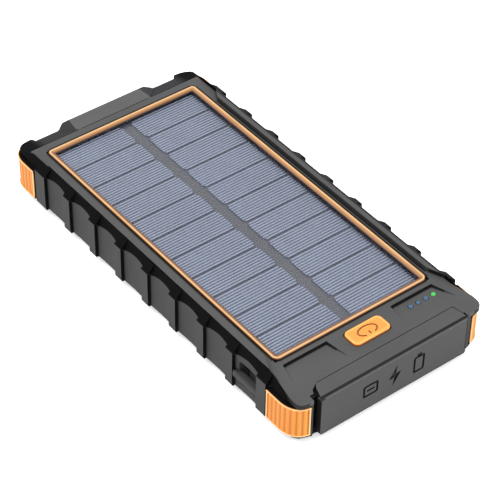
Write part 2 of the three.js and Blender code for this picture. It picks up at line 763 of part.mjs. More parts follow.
// Four clear pegs on one bar, from the lamps on the board up through the deck.
function lightGuide() {
  const xs = indicatorXs();
  const last = xs[INDICATOR_COUNT - 1];
  const bridge = box(xs[0] - 1.6, INDICATOR_Y - 1.2, 14.6, last + 1.6, INDICATOR_Y + 1.2, 15.8);
  return joined(bridge, ...xs.map((x) => peg(x, INDICATOR_Y, 0.85, 7.2, DECK_Z - 0.1, 12)));
}

place('power_button', powerButton(), FINISH.orange);
place('switch_plunger', peg(0, BUTTON_Y, 1.7, 8, 9.5, 16), FINISH.plastic);
place('power_switch', powerSwitch(), FINISH.steel);
place('light_guide', lightGuide(), FINISH.lens);
indicatorXs().forEach((x, i) => {
  const lamp = box(x - 0.8, INDICATOR_Y - 0.5, BOARD_TOP, x + 0.8, INDICATOR_Y + 0.5, 6.9);
  place(`indicator_led_${i + 1}`, lamp, i === INDICATOR_COUNT - 1 ? FINISH.green : FINISH.blue);
});

// ---- boards, sockets and cells ------------------------------------------------------

function mainBoard() {
  const board = box(-31, -76.6, BOARD_Z, 31.5, -50.5, BOARD_Z + BOARD_WALL);
  const chip = box(-12, -60, BOARD_Z + 1, -4, -52, BOARD_Z + 2.4);
  const coil = box(8, -60, BOARD_Z + 1, 15, -53, BOARD_Z + 4.4);
  const capacitor = peg(22, -57, 2.6, BOARD_Z + 1, BOARD_Z + 6, 16);
  return joined(board, chip, coil, capacitor);
}

// A rectangular metal socket that is open at the front, with its contact tongue inside.
function socket(x, [width, height, depth], tongueInset) {
  const rear = SOCKET_FRONT_Y + depth;
  const z = BOARD_TOP + height / 2;
  const shell = box(x - width / 2, SOCKET_FRONT_Y, BOARD_TOP, x + width / 2, rear, BOARD_TOP + height);
  const half = [width / 2 - SOCKET_WALL, height / 2 - SOCKET_WALL];
  const mouth = box(x - half[0], -TALL * 3, z - half[1], x + half[0], rear - 1, z + half[1]);
  const tongueX = half[0] - 0.8;
  const tongueFront = SOCKET_FRONT_Y + tongueInset;
  const tongue = box(x - tongueX, tongueFront, z + 0.2, x + tongueX, rear - 0.5, z + 1);
  return joined(shell.subtract(mouth), tongue);
}

function batteryCell(side) {
  const [x0, x1] = spanX(side, 0.5, 28.1);
  const pouch = prismZ(rectangle(x0, -46, x1, 62, 2), 2.4, 12.2);
  const seam = box(x0 + 1, -49.5, 7, x1 - 1, -45, 7.4);
  return joined(pouch, seam);
}

place('main_board', mainBoard(), FINISH.board);
place('usb_socket_left', socket(-USB_X, USB_SIZE, 3), FINISH.chrome);
place('usb_socket_right', socket(USB_X, USB_SIZE, 3), FINISH.chrome);
place('input_socket', socket(0, INPUT_SIZE, 1.5), FINISH.chrome);
place('battery_cell_left', batteryCell(-1), FINISH.pouch);
place('battery_cell_right', batteryCell(1), FINISH.pouch);
place('protection_board', box(-16, 63, 3, 16, 64.2, 11), FINISH.board);

// ---- torch --------------------------------------------------------------------------

// A cone with its wide mouth towards the back.
function reflectorBowl(x) {
  const cone = new THREE.CylinderGeometry(4, 1.9, 5, 24);
  return joined(
    solid(cone.translate(x, 77, TORCH_Z)),
    box(x - 1.6, 70, TORCH_Z - 1.6, x + 1.6, 76, TORCH_Z + 1.6),
  );
}

const [windowWidth, windowHeight] = WINDOW;
const reflectorBlock = box(-14, 74.4, 4.6, 14, 79.3, 15.4);
const bowls = [-TORCH_LED_X, TORCH_LED_X].map(reflectorBowl);
place('torch_reflector', without(reflectorBlock, ...bowls), FINISH.chrome);
place('torch_board', box(-14, 71.9, 4.6, 14, 73.1, 15.4), FINISH.board);
place('torch_led_left', box(-TORCH_LED_X - 1.4, 73.3, 8.6, -TORCH_LED_X + 1.4, 75, 11.4), FINISH.lamp);
place('torch_led_right', box(TORCH_LED_X - 1.4, 73.3, 8.6, TORCH_LED_X + 1.4, 75, 11.4), FINISH.lamp);
place('torch_lens', prismY(rectangle(
  -windowWidth / 2 + GAP, TORCH_Z - windowHeight / 2 + GAP,
  windowWidth / 2 - GAP, TORCH_Z + windowHeight / 2 - GAP, 1.4,
), 79.6, TORCH_Y - 0.4), FINISH.lens);

export default charger;
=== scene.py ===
"""Looks of the solar phone charger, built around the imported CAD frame. Metres, +Z up."""
import json
import math

import bmesh
import bpy
from mathutils import Matrix, Vector


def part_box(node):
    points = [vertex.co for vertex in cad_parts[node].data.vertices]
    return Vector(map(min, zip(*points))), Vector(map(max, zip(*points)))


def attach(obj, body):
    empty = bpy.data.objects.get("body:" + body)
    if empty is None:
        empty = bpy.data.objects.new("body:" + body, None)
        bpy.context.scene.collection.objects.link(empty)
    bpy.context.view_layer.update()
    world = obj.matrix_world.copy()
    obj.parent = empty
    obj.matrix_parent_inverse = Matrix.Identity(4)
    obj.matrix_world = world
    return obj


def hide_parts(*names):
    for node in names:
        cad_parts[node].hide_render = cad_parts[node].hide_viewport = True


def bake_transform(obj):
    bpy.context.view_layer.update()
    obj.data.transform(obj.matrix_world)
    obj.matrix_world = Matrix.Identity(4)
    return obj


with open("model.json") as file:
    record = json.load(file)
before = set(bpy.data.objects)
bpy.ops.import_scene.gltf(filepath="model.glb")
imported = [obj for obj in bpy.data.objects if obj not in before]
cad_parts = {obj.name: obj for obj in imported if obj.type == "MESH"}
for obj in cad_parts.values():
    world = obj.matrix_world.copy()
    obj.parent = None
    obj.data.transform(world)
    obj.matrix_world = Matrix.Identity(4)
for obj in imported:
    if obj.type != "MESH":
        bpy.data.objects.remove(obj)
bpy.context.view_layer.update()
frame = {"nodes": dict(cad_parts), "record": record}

MM = 0.001
NODES = frame["nodes"]
SLOT_OF = {row["node"]: row["material_slot"] for row in frame["record"]["subparts"]}

# ---- camera ----

AIM = Vector((0.36, -5.75, 10.0)) * MM
AZIMUTH = -38.56
ELEVATION = 42.08
ROLL = 1.15
DISTANCE = 697.2 * MM
LENS = 147.05
SENSOR = 36


def add_camera():
    azimuth, elevation = math.radians(AZIMUTH), math.radians(ELEVATION)
    back = Vector((
        math.sin(azimuth) * math.cos(elevation),
        -math.cos(azimuth) * math.cos(elevation),
        math.sin(elevation),
    ))
    level = Vector((math.cos(azimuth), math.sin(azimuth), 0))
    rise = back.cross(level)
    roll = math.radians(ROLL)
    right = level * math.cos(roll) + rise * math.sin(roll)
    up = back.cross(right)
    data = bpy.data.cameras.new("camera")
    data.lens = LENS
    data.sensor_width = SENSOR
    data.clip_start = 10 * MM
    camera = bpy.data.objects.new("camera", data)
    turn = Matrix((right, up, back)).transposed().to_4x4()
    camera.matrix_world = Matrix.Translation(AIM + back * DISTANCE) @ turn
    bpy.context.scene.collection.objects.link(camera)
    bpy.context.scene.camera = camera


# ---- stage and light ----

FLOOR_HALF = 6.0
FLOOR_Z = -0.05 * MM
FLOOR_TONE = 0.95
FLOOR_GLOW = 0.35
SKY_STRENGTH = 1.3
WHITE = (1, 1, 1, 1)
KEY_LAMP = {"place": (-0.55, 0.35, 1.1), "size": 0.9, "power": 9}
FILL_LAMP = {"place": (0.3, -1.1, 0.8), "size": 0.9, "power": 5}


def area_light(name, place, size, power):
    data = bpy.data.lights.new(name, "AREA")
    data.shape = "SQUARE"
    data.size = size
    data.energy = power
    light = bpy.data.objects.new(name, data)
    light.location = place
    light.rotation_euler = (-Vector(place)).to_track_quat("-Z", "Y").to_euler()
    bpy.context.scene.collection.objects.link(light)


def add_stage():
    """A white room with a pale floor and two soft lamps."""
    world = bpy.data.worlds.new("studio")
    bpy.context.scene.world = world
    world.use_nodes = True
    background = world.node_tree.nodes["Background"]
    background.inputs["Color"].default_value = WHITE
    background.inputs["Strength"].default_value = SKY_STRENGTH
    h = FLOOR_HALF
    mesh = bpy.data.meshes.new("floor")
    corners = [(-h, -h, FLOOR_Z), (h, -h, FLOOR_Z), (h, h, FLOOR_Z), (-h, h, FLOOR_Z)]
    mesh.from_pydata(corners, [], [(0, 1, 2, 3)])
    floor = bpy.data.objects.new("floor", mesh)
    bpy.context.scene.collection.objects.link(floor)
    material = bpy.data.materials.new("floor")
    material.use_nodes = True
    shader = material.node_tree.nodes["Principled BSDF"]
    shader.inputs["Base Color"].default_value = (FLOOR_TONE, FLOOR_TONE, FLOOR_TONE, 1)
    shader.inputs["Roughness"].default_value = 0.9
    shader.inputs["Specular IOR Level"].default_value = 0.1
    shader.inputs["Emission Color"].default_value = WHITE
    shader.inputs["Emission Strength"].default_value = FLOOR_GLOW
    mesh.materials.append(material)
    area_light("key", **KEY_LAMP)
    area_light("fill", **FILL_LAMP)


# ---- material nodes ----

PATCHES = (0.3, 0.7)  # the values of a noise at its low and its high patches

def linear(code, gain=1.0):
    """A colour written as 0xRRGGBB, as the linear values that a shader takes."""
    parts = [((code >> shift) & 255) / 255 for shift in (16, 8, 0)]
    light = [c / 12.92 if c <= 0.04045 else ((c + 0.055) / 1.055) ** 2.4 for c in parts]
    return (*[min(1.0, c * gain) for c in light], 1)


class Look:
    """One material, with short ways to add and join its nodes. Places are object coordinates."""

    def __init__(self, name):
        self.material = bpy.data.materials.new(name)
        self.material.use_nodes = True
        self.tree = self.material.node_tree
        self.shader = self.tree.nodes["Principled BSDF"]
        coordinates = self.tree.nodes.new("ShaderNodeTexCoord")
        self.place = coordinates.outputs["Object"]
        self.facing = coordinates.outputs["Normal"]

    def add(self, kind, output=0, settings=None, **inputs):
        node = self.tree.nodes.new(kind)
        for key, value in (settings or {}).items():
            setattr(node, key, value)
        for key, value in inputs.items():
            self.feed(node.inputs[key.replace("_", " ")], value)
        return node.outputs[output]

    def feed(self, socket, value):
        if isinstance(value, bpy.types.NodeSocket):
            self.tree.links.new(value, socket)
        else:
            socket.default_value = value

    def set(self, **inputs):
        for key, value in inputs.items():
            self.feed(self.shader.inputs[key.replace("_", " ")], value)

    def stretched(self, x, y, z):
        return self.add("ShaderNodeMapping", Vector=self.place, Scale=(x, y, z))

    def noise(self, scale, detail=3.0, rough=0.5, place=None, warp=0.0):
        return self.add(
            "ShaderNodeTexNoise", 0, Vector=place or self.place,
            Scale=scale, Detail=detail, Roughness=rough, Distortion=warp,
        )

    def cells(self, scale, output="Distance", feature="F1", place=None):
        return self.add(
            "ShaderNodeTexVoronoi", output, {"feature": feature},
            Vector=place or self.place, Scale=scale,
        )

    def math(self, operation, a, b=0.0, clamp=False):
        node = self.tree.nodes.new("ShaderNodeMath")
        node.operation = operation
        node.use_clamp = clamp
        self.feed(node.inputs[0], a)
        self.feed(node.inputs[1], b)
        return node.outputs[0]

    def span(self, value, low, high, to_low=0.0, to_high=1.0):
        """value from low to high becomes to_low to to_high, and stays within them."""
        node = self.tree.nodes.new("ShaderNodeMapRange")
        for socket, given in zip(node.inputs[:5], (value, low, high, to_low, to_high)):
            self.feed(socket, given)
        return node.outputs[0]

    def fade(self, axis, bounds, origin=0.0):
        """0 at the first of two bounds and 1 at the second, in millimetres from origin."""
        return self.span(axis, *[origin + bound * MM for bound in bounds])

    def both(self, *masks):
        """The product of masks: 1 only where each of them is 1."""
        product = masks[0]
        for mask in masks[1:]:
            product = self.math("MULTIPLY", product, mask)
        return product

    def off_middle(self, axis):
        """Distance from the middle plane of an axis, on either side."""
        return self.math("ABSOLUTE", axis)

    def mix(self, a, b, share):
        node = self.tree.nodes.new("ShaderNodeMix")
        node.data_type = "RGBA"
        self.feed(node.inputs[0], share)
        self.feed(node.inputs[6], a)
        self.feed(node.inputs[7], b)
        return node.outputs[2]

    def ramp(self, value, stops):
        node = self.tree.nodes.new("ShaderNodeValToRGB")
        points = node.color_ramp.elements
        while len(points) < len(stops):
            points.new(0.5)
        for point, (at, colour) in zip(points, stops):
            point.position = at
            point.color = colour
        self.feed(node.inputs[0], value)
        return node.outputs[0]

    def axes(self, vector=None):
        node = self.tree.nodes.new("ShaderNodeSeparateXYZ")
        self.feed(node.inputs[0], vector or self.place)
        return node.outputs

    def tone(self):
        """The number that mesh code leaves on its points, from 0 in a groove to 1 on a crest; the finishes
        paint shade in the grooves and a highlight on the crests from it.
        """
        return self.add("ShaderNodeAttribute", "Fac", {"attribute_name": "tone"})

    def crevice(self, reach=1.4 * MM, full=0.35, none=0.8):
        """1 deep in a joint or a groove, 0 on an open face."""
        seen = self.add("ShaderNodeAmbientOcclusion", "AO", {"samples": 8}, Distance=reach)
        return self.span(seen, full, none, 1.0, 0.0)

    def edge(self, radius=0.35 * MM):
        """1 where a face turns sharply into the next, as a worn edge does."""
        turned = self.add("ShaderNodeBevel", 0, {"samples": 6}, Radius=radius)
        own = self.add("ShaderNodeNewGeometry", "Normal")
        node = self.tree.nodes.new("ShaderNodeVectorMath")
        node.operation = "DOT_PRODUCT"
        self.feed(node.inputs[0], turned)
        self.feed(node.inputs[1], own)
        return self.span(node.outputs["Value"], 0.995, 0.88)

    def bump(self, height, depth):
        node = self.tree.nodes.new("ShaderNodeBump")
        node.inputs["Strength"].default_value = 1.0
        node.inputs["Distance"].default_value = depth
        self.feed(node.inputs["Height"], height)
        return node.outputs[0]

    def between(self, dark, light, patches):
        """Two colours mixed by the low and high patches of a noise."""
        return self.mix(linear(dark), linear(light), self.span(patches, *PATCHES))

    def spots(self, colour, code, patches, bounds, share):
        """Another colour where the patches rise through two bounds, up to a share."""
        return self.mix(colour, linear(code), self.span(patches, *bounds, 0, share))

    def shade_and_soil(self, colour, code, share, **joint):
        """Painted shade and dirt: another colour in joints and grooves, found by ambient occlusion, up to a
        share.
        """
        return self.mix(colour, linear(code), self.math("MULTIPLY", self.crevice(**joint), share))

    def finish(self, colour, patches, rough, height, depth, over=PATCHES, **more):
        """Sets the colour, a roughness between two values by the patches, and a bump whose
        depth is in millimetres, and gives the material."""
        roughness = self.span(patches, *over, *rough)
        self.set(Base_Color=colour, Roughness=roughness, Normal=self.bump(height, depth * MM), **more)
        return self.material


def moulded(name, code, rough, gain=1.0, grain=0.012, wear=0.3, dirt_and_shade=0.85, dark=0x0A0A0B,
            paint=None, shine=0.3):
    """Spark-eroded moulded plastic: fine grain, cloudy patches, rubbed edges, and joints darkened by dirt and
    painted shade.
    """
    look = Look(name)
    cloud = look.noise(70, 4, 0.6)
    grit = look.noise(2400, 2, 0.6)
    scuff = look.noise(260, 5, 0.7, look.stretched(1, 0.25, 1), 0.4)
    colour = look.mix(linear(code, gain * 0.9), linear(code, gain * 1.1), look.span(cloud, *PATCHES))
    colour = look.mix(colour, linear(code, gain * 1.3), look.span(grit, 0.55, 0.8, 0, 0.35))
    if paint:
        colour = paint(look, colour)
    rubbed = look.both(look.edge(), look.span(scuff, 0.35, 0.6, 0.3, 1), wear)
    colour = look.mix(colour, linear(code, gain * 2.0), rubbed)
    # Painted shade and dirt in joints and grooves.
    colour = look.shade_and_soil(colour, dark, dirt_and_shade)
    roughness = look.span(cloud, *PATCHES, rough - 0.06, rough + 0.06)
    roughness = look.math("SUBTRACT", roughness, look.span(scuff, 0.6, 0.75, 0, 0.12), clamp=True)
    height = look.math("ADD", grit, look.math("MULTIPLY", look.cells(1500), 0.6))
    look.set(
        Base_Color=colour, Roughness=roughness, Normal=look.bump(height, grain * MM),
        Specular_IOR_Level=shine, IOR=1 + 1.5 * shine,
    )
    return look.material


def inside(look, low, high):
    """1 in the box between two corners, 0 outside it."""
    soft = 0.05 * MM
    steps = []
    for axis, near, far in zip(look.axes(), low, high):
        steps.append(look.span(axis, near - soft, near + soft))
        steps.append(look.span(axis, far + soft, far - soft))
    return look.both(*steps)


# ---- piece-building helpers ----


def box_mm(node):
    """The lowest and highest corners of a CAD node, in millimetres."""
    return [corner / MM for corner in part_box(node)]


def add_piece(name, points, faces, body, materials, stands_for=(), tones=None, face_slots=None):
    """A piece of points in millimetres, with a tone for each point and a material for each face."""
    mesh = bpy.data.meshes.new(name)
    mesh.from_pydata([Vector(p) * MM for p in points], [], faces)
    for material in materials:
        mesh.materials.append(material)
    if face_slots:
        mesh.polygons.foreach_set("material_index", face_slots)
    if tones:
        layer = mesh.attributes.new("tone", "FLOAT", "POINT")
        layer.data.foreach_set("value", tones)
    work = bmesh.new()
    work.from_mesh(mesh)
    bmesh.ops.recalc_face_normals(work, faces=work.faces)
    work.to_mesh(mesh)
    work.free()
    piece = bpy.data.objects.new(name, mesh)
    bpy.context.scene.collection.objects.link(piece)
    if body:
        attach(piece, body)
    if stands_for:
        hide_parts(*stands_for)
    return piece


def sheet_faces(rows, columns, around=False, start=0):
    """Quads of a grid whose points run row by row; around joins the last column to the first."""
    faces = []
    for r in range(rows - 1):
        for c in range(columns if around else columns - 1):
            after = (c + 1) % columns
            corners = (r * columns + c, r * columns + after, (r + 1) * columns + after, (r + 1) * columns + c)
            faces.append(tuple(start + corner for corner in corners))
    return faces


SHARP_ANGLE = 35
BEVEL_ANGLE = 28


def smooth_group():
    """Geometry nodes that shade smooth, except over edges sharper than SHARP_ANGLE."""
    group = bpy.data.node_groups.new("smooth_by_angle", "GeometryNodeTree")
    group.interface.new_socket("Geometry", in_out="INPUT", socket_type="NodeSocketGeometry")
    group.interface.new_socket("Geometry", in_out="OUTPUT", socket_type="NodeSocketGeometry")
    add = group.nodes.new
    entry, leave = add("NodeGroupInput"), add("NodeGroupOutput")
    faces, edges = add("GeometryNodeSetShadeSmooth"), add("GeometryNodeSetShadeSmooth")
    edges.domain = "EDGE"
    angle = add("GeometryNodeInputMeshEdgeAngle")
    sharp = add("ShaderNodeMath")
    sharp.operation = "LESS_THAN"
    sharp.inputs[1].default_value = math.radians(SHARP_ANGLE)
    join = group.links.new
    join(entry.outputs[0], faces.inputs["Geometry"])
    join(faces.outputs[0], edges.inputs["Geometry"])
    join(angle.outputs[0], sharp.inputs[0])
    join(sharp.outputs[0], edges.inputs["Shade Smooth"])
    join(edges.outputs[0], leave.inputs[0])
    return group


SMOOTH = smooth_group()


def soften(piece, width=0, merge=False):
    """Rounds the edges of a piece by width millimetres and shades it by angle. merge first
    joins the flat triangles of a CAD node into whole faces."""
    if merge:
        flat = piece.modifiers.new("flat", "DECIMATE")
        flat.decimate_type = "DISSOLVE"
        flat.angle_limit = math.radians(1)
    if width:
        rounded = piece.modifiers.new("edges", "BEVEL")
        rounded.width = width * MM
        rounded.segments = 2
        rounded.limit_method = "ANGLE"
        rounded.angle_limit = math.radians(BEVEL_ANGLE)
        rounded.miter_outer = "MITER_ARC"
        rounded.use_clamp_overlap = True
    shade = piece.modifiers.new("shade", "NODES")
    shade.node_group = SMOOTH


# ---- finishes ----

GREY_DECK = 0x666666
GREY_WALL = 0x5A5A5A
NEAR_BLACK = 0x1E1E20
JET = linear(0x020202)

# Painted areas. A pair of bounds is where the paint starts and where it is full. The first two
# rows are parts of a facing direction. The rest are millimetres from a face of a node, where
# those on the sides and the ends start from the outside of the case.
FACES_FRONT, FACES_LEFT, FACES_UP = (-0.55, -0.75), (-0.6, -0.8), (0.5, 0.7)
TILTED, STEEP = (0.85, 0.7), (0.6, 0.4)
RIB_SIDES = (-1.55, -1.4)
BAY_BACK, BAY_INNER, BAY_OUTER = (4.2, 3.9), (1.2, 1.0), (-2.45, -2.35)
LAP_SIDE, LAP_FOOT, BRINK_SIDES = (-4.3, -4.1), (-1.3, -1.1), (-6, -5.4)
SLOT_BACK, SLOT_INNER, SLOT_OUTER, SLOT_TOP = (-0.8, -1.2), (1.6, 1.3), (-2.5, -2.3), (0.45, 0.25)
GAP_BACK, GAP_INNER, GAP_OUTER = (-0.4, -0.6), (0, 1), (1.1, 0.95)
GUARD_BACK, GUARD_SIDES = (-1.0, -0.2), (-7, -11)
CORNER_ENDS, CORNER_SIDES, CORNER_TOP = (-11.8, -10.3), (-8.5, -7), (-0.1, -0.3)
HOOD_ENDS = (-4.1, -5.1)
SYMBOL_FRONT, SYMBOL_REAR, SYMBOL_SIDES, COVER_END = (0.2, 0.3), (0.62, 0.56), (-20, -20.2), (-0.5, -0.4)
STRAP_FRONT = (1.15, 1.0)
RIM_RIGHT, RIM_REAR = (-4.0, -2.9), (-3.9, -2.9)

CASE_SIDE, CASE_END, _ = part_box("bottom_shell")[1]

# Painted shadow lines on the deck, where the steps beside its rails and under two edges of each pad fall in
# shade: start, end and width, in millimetres on plan.
RAIL_SHADOW_LINES = [((-33.9, -57), (-33.9, 57), 0.5), ((33.75, -57), (33.75, 57), 0.7)]
PAD_SHADOW_LINES = [
    ((-31, -63.25), (-13.5, -63.25), 0.75), ((-13.6, -63.3), (-13, -67.6), 0.6),
    ((13.6, -63.25), (31, -63.25), 0.75), ((31, -63.3), (32.5, -68), 0.6),
]
LINE_SOFTNESS = 0.25
LINE_OFF, LINE_OFF_BACK = 0.4, 0.5  # from the bezel to the lines beside it


def paint_step_shade(look, colour):
    """The steps that face the front on the ribs, and the bay of the cover, are painted black as shade."""
    x, y, _ = look.axes()
    low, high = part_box("port_cover")
    front = look.span(look.axes(look.facing)[1], *FACES_FRONT)
    step = look.both(front, look.fade(look.off_middle(x), RIB_SIDES, CASE_SIDE))
    bay = look.both(
        look.fade(y, BAY_BACK, high.y), look.fade(x, BAY_INNER, low.x), look.fade(x, BAY_OUTER, low.x),
    )
    return look.mix(look.mix(colour, JET, step), JET, bay)


def near_line(look, start, end, width):
    """1 within half the width of the line between two points on plan, all in millimetres."""
    start, end = Vector(start) * MM, Vector(end) * MM
    along = (end - start).normalized()
    x, y, _ = look.axes()
    x, y = look.math("SUBTRACT", x, start.x), look.math("SUBTRACT", y, start.y)
    run = look.math("ADD", look.math("MULTIPLY", x, along.x), look.math("MULTIPLY", y, along.y))
    off = look.math("SUBTRACT", look.math("MULTIPLY", y, along.x), look.math("MULTIPLY", x, along.y))
    half = width * MM / 2
    beside = look.span(look.off_middle(off), half * (1 + LINE_SOFTNESS), half * (1 - LINE_SOFTNESS))
    middle = (end - start).length / 2
    reach = look.math("ABSOLUTE", look.math("SUBTRACT", run, middle))
    return look.both(beside, look.span(reach, middle + half, middle))


def bezel_shadow_lines():
    """Painted shadow lines along the outside of the bezel's four sides: start, end and width."""
    low, high = box_mm("bezel_ring")
    left, right = low.x - LINE_OFF, high.x + LINE_OFF
    front, back = low.y - LINE_OFF, high.y + LINE_OFF_BACK
    return [
        ((left, front + 1.6), (left, back - 1.5), 0.5), ((right, front + 1.6), (right, back - 1.5), 0.7),
        ((left + 1.7, front), (right - 1.7, front), 0.5), ((left + 1.4, back), (right - 1.4, back), 0.8),
    ]


def paint_deck(look, colour):
    """Painted shadow lines beside the rails and the bezel and under two edges of each pad, black painted
    shade on steep faces near the sides, and the black band where the guard laps over the right rail."""
    for start, end, width in RAIL_SHADOW_LINES + bezel_shadow_lines() + PAD_SHADOW_LINES:
        colour = look.mix(colour, JET, near_line(look, start, end, width))
    x, _, z = look.axes()
    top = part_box("top_shell")[1].z
    lap = look.both(look.fade(x, LAP_SIDE, CASE_SIDE), look.fade(z, LAP_FOOT, top))
    colour = look.mix(colour, linear(NEAR_BLACK, 0.4), lap)
    # Steep faces near the sides of the case are painted black as shade.
    steep = look.span(look.axes(look.facing)[2], *STEEP)
    brink = look.both(steep, look.fade(look.off_middle(x), BRINK_SIDES, CASE_SIDE))
    return paint_slot_shade(look, look.mix(colour, JET, brink))


def paint_slot_shade(look, colour):
    """The finger slot at the left of the cover is painted black as shade wherever it dips, and so is the gap
    at the cover's right end."""
    x, y, z = look.axes()
    tilted = look.span(look.axes(look.facing)[2], *TILTED)
    low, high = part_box("port_cover")
    along = look.both(look.fade(x, SLOT_INNER, low.x), look.fade(x, SLOT_OUTER, low.x))
    slot = look.both(look.fade(y, SLOT_BACK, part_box("port_cover_strap")[1].y), along)
    dips = look.math("MAXIMUM", tilted, look.fade(z, SLOT_TOP, high.z))
    colour = look.mix(colour, JET, look.both(slot, dips))
    across = look.both(look.fade(x, GAP_OUTER, high.x), look.fade(x, GAP_INNER, high.x))
    gap = look.both(look.math("GREATER_THAN", across, 0), look.fade(y, GAP_BACK, high.y), tilted)
    return look.mix(colour, JET, gap)


def paint_guard(look, colour):
    """The guard band is greyer along the back, between its corners."""
    x, y, _ = look.axes()
    behind = look.fade(y, GUARD_BACK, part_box("torch_hood")[0].y)
    back = look.both(behind, look.fade(look.off_middle(x), GUARD_SIDES, CASE_SIDE), 0.7)
    return look.mix(colour, linear(0x3A3A3C), back)


def paint_base(look, colour):
    """Painted shade on the rib steps and in the slot as elsewhere on the walls, and black on the base below
    the bumpers.
    """
    x, y, z = look.axes()
    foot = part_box("corner_bumper_front_left")[0].z
    corner = look.both(
        look.fade(look.off_middle(y), CORNER_ENDS, CASE_END), look.fade(z, CORNER_TOP, foot),
        look.fade(look.off_middle(x), CORNER_SIDES, CASE_SIDE),
    )
    return look.mix(paint_slot_shade(look, paint_step_shade(look, colour)), JET, corner)


def paint_hood_shade(look, colour):
    """The ends of the torch hood, where they slope away, are painted the near black of the guard band as
    shade.
    """
    x, y, _ = look.axes()
    low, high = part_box("torch_hood")
    reach = look.span(y, low.y, high.y, *[high.x + end * MM for end in HOOD_ENDS])
    ends = look.math("GREATER_THAN", look.off_middle(x), reach)
    return look.mix(colour, linear(NEAR_BLACK), ends)


def paint_cover(look, colour):
    """The symbols are filled with black; the narrow left end of the cover with every face that turns left,
    and a strip at its right end, are painted black as shade.
    """
    low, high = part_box("port_cover")
    x, y, _ = look.axes()
    symbols = look.both(
        look.fade(y, SYMBOL_FRONT, low.y), look.fade(y, SYMBOL_REAR, low.y),
        look.fade(look.off_middle(x), SYMBOL_SIDES, CASE_SIDE),
    )
    left = look.span(look.axes(look.facing)[0], *FACES_LEFT)
    ends = look.math("ADD", left, look.fade(x, COVER_END, high.x), clamp=True)
    return look.mix(look.mix(colour, JET, symbols), JET, ends)


def paint_strap_shade(look, colour):
    """A black line of painted shade runs along the front edge of the strap's top."""
    low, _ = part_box("port_cover_strap")
    top = look.span(look.axes(look.facing)[2], *FACES_UP)
    line = look.both(look.fade(look.axes()[1], STRAP_FRONT, low.y), top)
    return paint_slot_shade(look, look.mix(colour, JET, line))


def rubber_bumper():
    look = Look("bumper")
    tone = look.tone()
    cloud = look.noise(120, 4, 0.6)
    grit = look.noise(3000, 2, 0.6)
    # Painted light by tone: painted shade in the grooves between the flutes, a painted highlight on their
    # crests.
    colour = look.ramp(tone, [
        (0.0, linear(0x844A18)), (0.3, linear(0xAE6A24)), (0.6, linear(0xC8842A)), (1.0, linear(0xD6B284)),
    ])
    # Faces that turn sideways are painted a darker, warmer orange as shade, except on the crests.
    sideways = look.span(look.off_middle(look.axes(look.facing)[0]), 0.2, 0.9)
    side_shade = look.mix(colour, linear(0xBC6420), 0.4)
    colour = look.mix(colour, side_shade, look.both(sideways, look.span(tone, 0.9, 0.7)))
    colour = look.spots(colour, 0xB06A24, cloud, (0.5, 0.8), 0.3)
    colour = look.spots(colour, 0xE8A060, grit, (0.6, 0.8), 0.25)
    # Painted shade and dirt in the grooves and joints.
    colour = look.shade_and_soil(colour, 0x2A1204, 0.5, reach=0.9 * MM, full=0.3, none=0.65)
    return look.finish(colour, cloud, (0.5, 0.66), grit, 0.012, Specular_IOR_Level=0.3)


def bezel_plastic():
    look = Look("bezel")
    streak = look.noise(500, 4, 0.6, look.stretched(0.2, 0.2, 1))
    grit = look.noise(2600, 2, 0.5)
    # Painted light by tone: near black shade on the walls, a painted highlight on the crest.
    colour = look.ramp(look.tone(), [
        (0.0, linear(0x120603)), (0.15, linear(0x30180A)), (0.4, linear(0x784A28)),
        (0.7, linear(0xA2733F)), (1.0, linear(0xCCA472)),
    ])
    colour = look.spots(colour, 0x7C4A24, streak, (0.5, 0.8), 0.35)
    # Painted shade and dirt near the walls and joints.
    colour = look.shade_and_soil(colour, 0x140802, 0.85, reach=0.8 * MM, full=0.25, none=0.55)
    return look.finish(colour, streak, (0.32, 0.48), grit, 0.008)


def button_rubber(symbol=False):
    look = Look("button_symbol" if symbol else "button")
    cloud = look.noise(160, 4, 0.6)
    grit = look.noise(3000, 2, 0.6)
    if symbol:
        colour = look.mix(linear(0x7A4410), linear(0x96581A), cloud)
    else:
        # Painted light by tone: dark brown shade at the foot, a painted highlight on the rim's crest.
        colour = look.ramp(look.tone(), [
            (0.0, linear(0x6A3408)), (0.25, linear(0x8A4A12)),
            (0.5, linear(0xE08632)), (1.0, linear(0xEEA050)),
        ])
        colour = look.spots(colour, 0xD07826, cloud, (0.5, 0.75), 0.4)
    return look.finish(colour, cloud, (0.45, 0.6), grit, 0.012)


def shaded_rim(look):
    """The panel darkens where it runs in under the bezel at the right and the back."""
    _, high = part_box("bezel_ring")
    x, y, _ = look.axes()
    right, rear = look.fade(x, RIM_RIGHT, high.x), look.fade(y, RIM_REAR, high.y)
    return look.math("MULTIPLY", look.math("MAXIMUM", right, rear), 0.85)


def silicon():
    """Cells with cloudy crystal grain, each a little different, and painted shade where the panel runs in
    under the bezel at the right and the back.
    """
    look = Look("cell")
    grain = look.axes(look.cells(320, "Color", place=look.stretched(1, 0.7, 1)))[0]
    colour = look.between(0x383C46, 0x434854, look.noise(45, 4, 0.6))
    colour = look.spots(colour, 0x5A6070, grain, (0.4, 1), 0.35)
    colour = look.mix(colour, linear(0x0A0606), shaded_rim(look))
    ripple = look.noise(1800, 2)
    return look.finish(colour, grain, (0.3, 0.42), ripple, 0.001, over=(0, 1), Metallic=0.25)


def silver_print():
    look = Look("silver_print")
    blot = look.noise(900, 3, 0.6)
    colour = look.between(0x7C8496, 0x8C94A4, blot)
    return look.finish(colour, blot, (0.4, 0.6), blot, 0.002, Metallic=0.3)


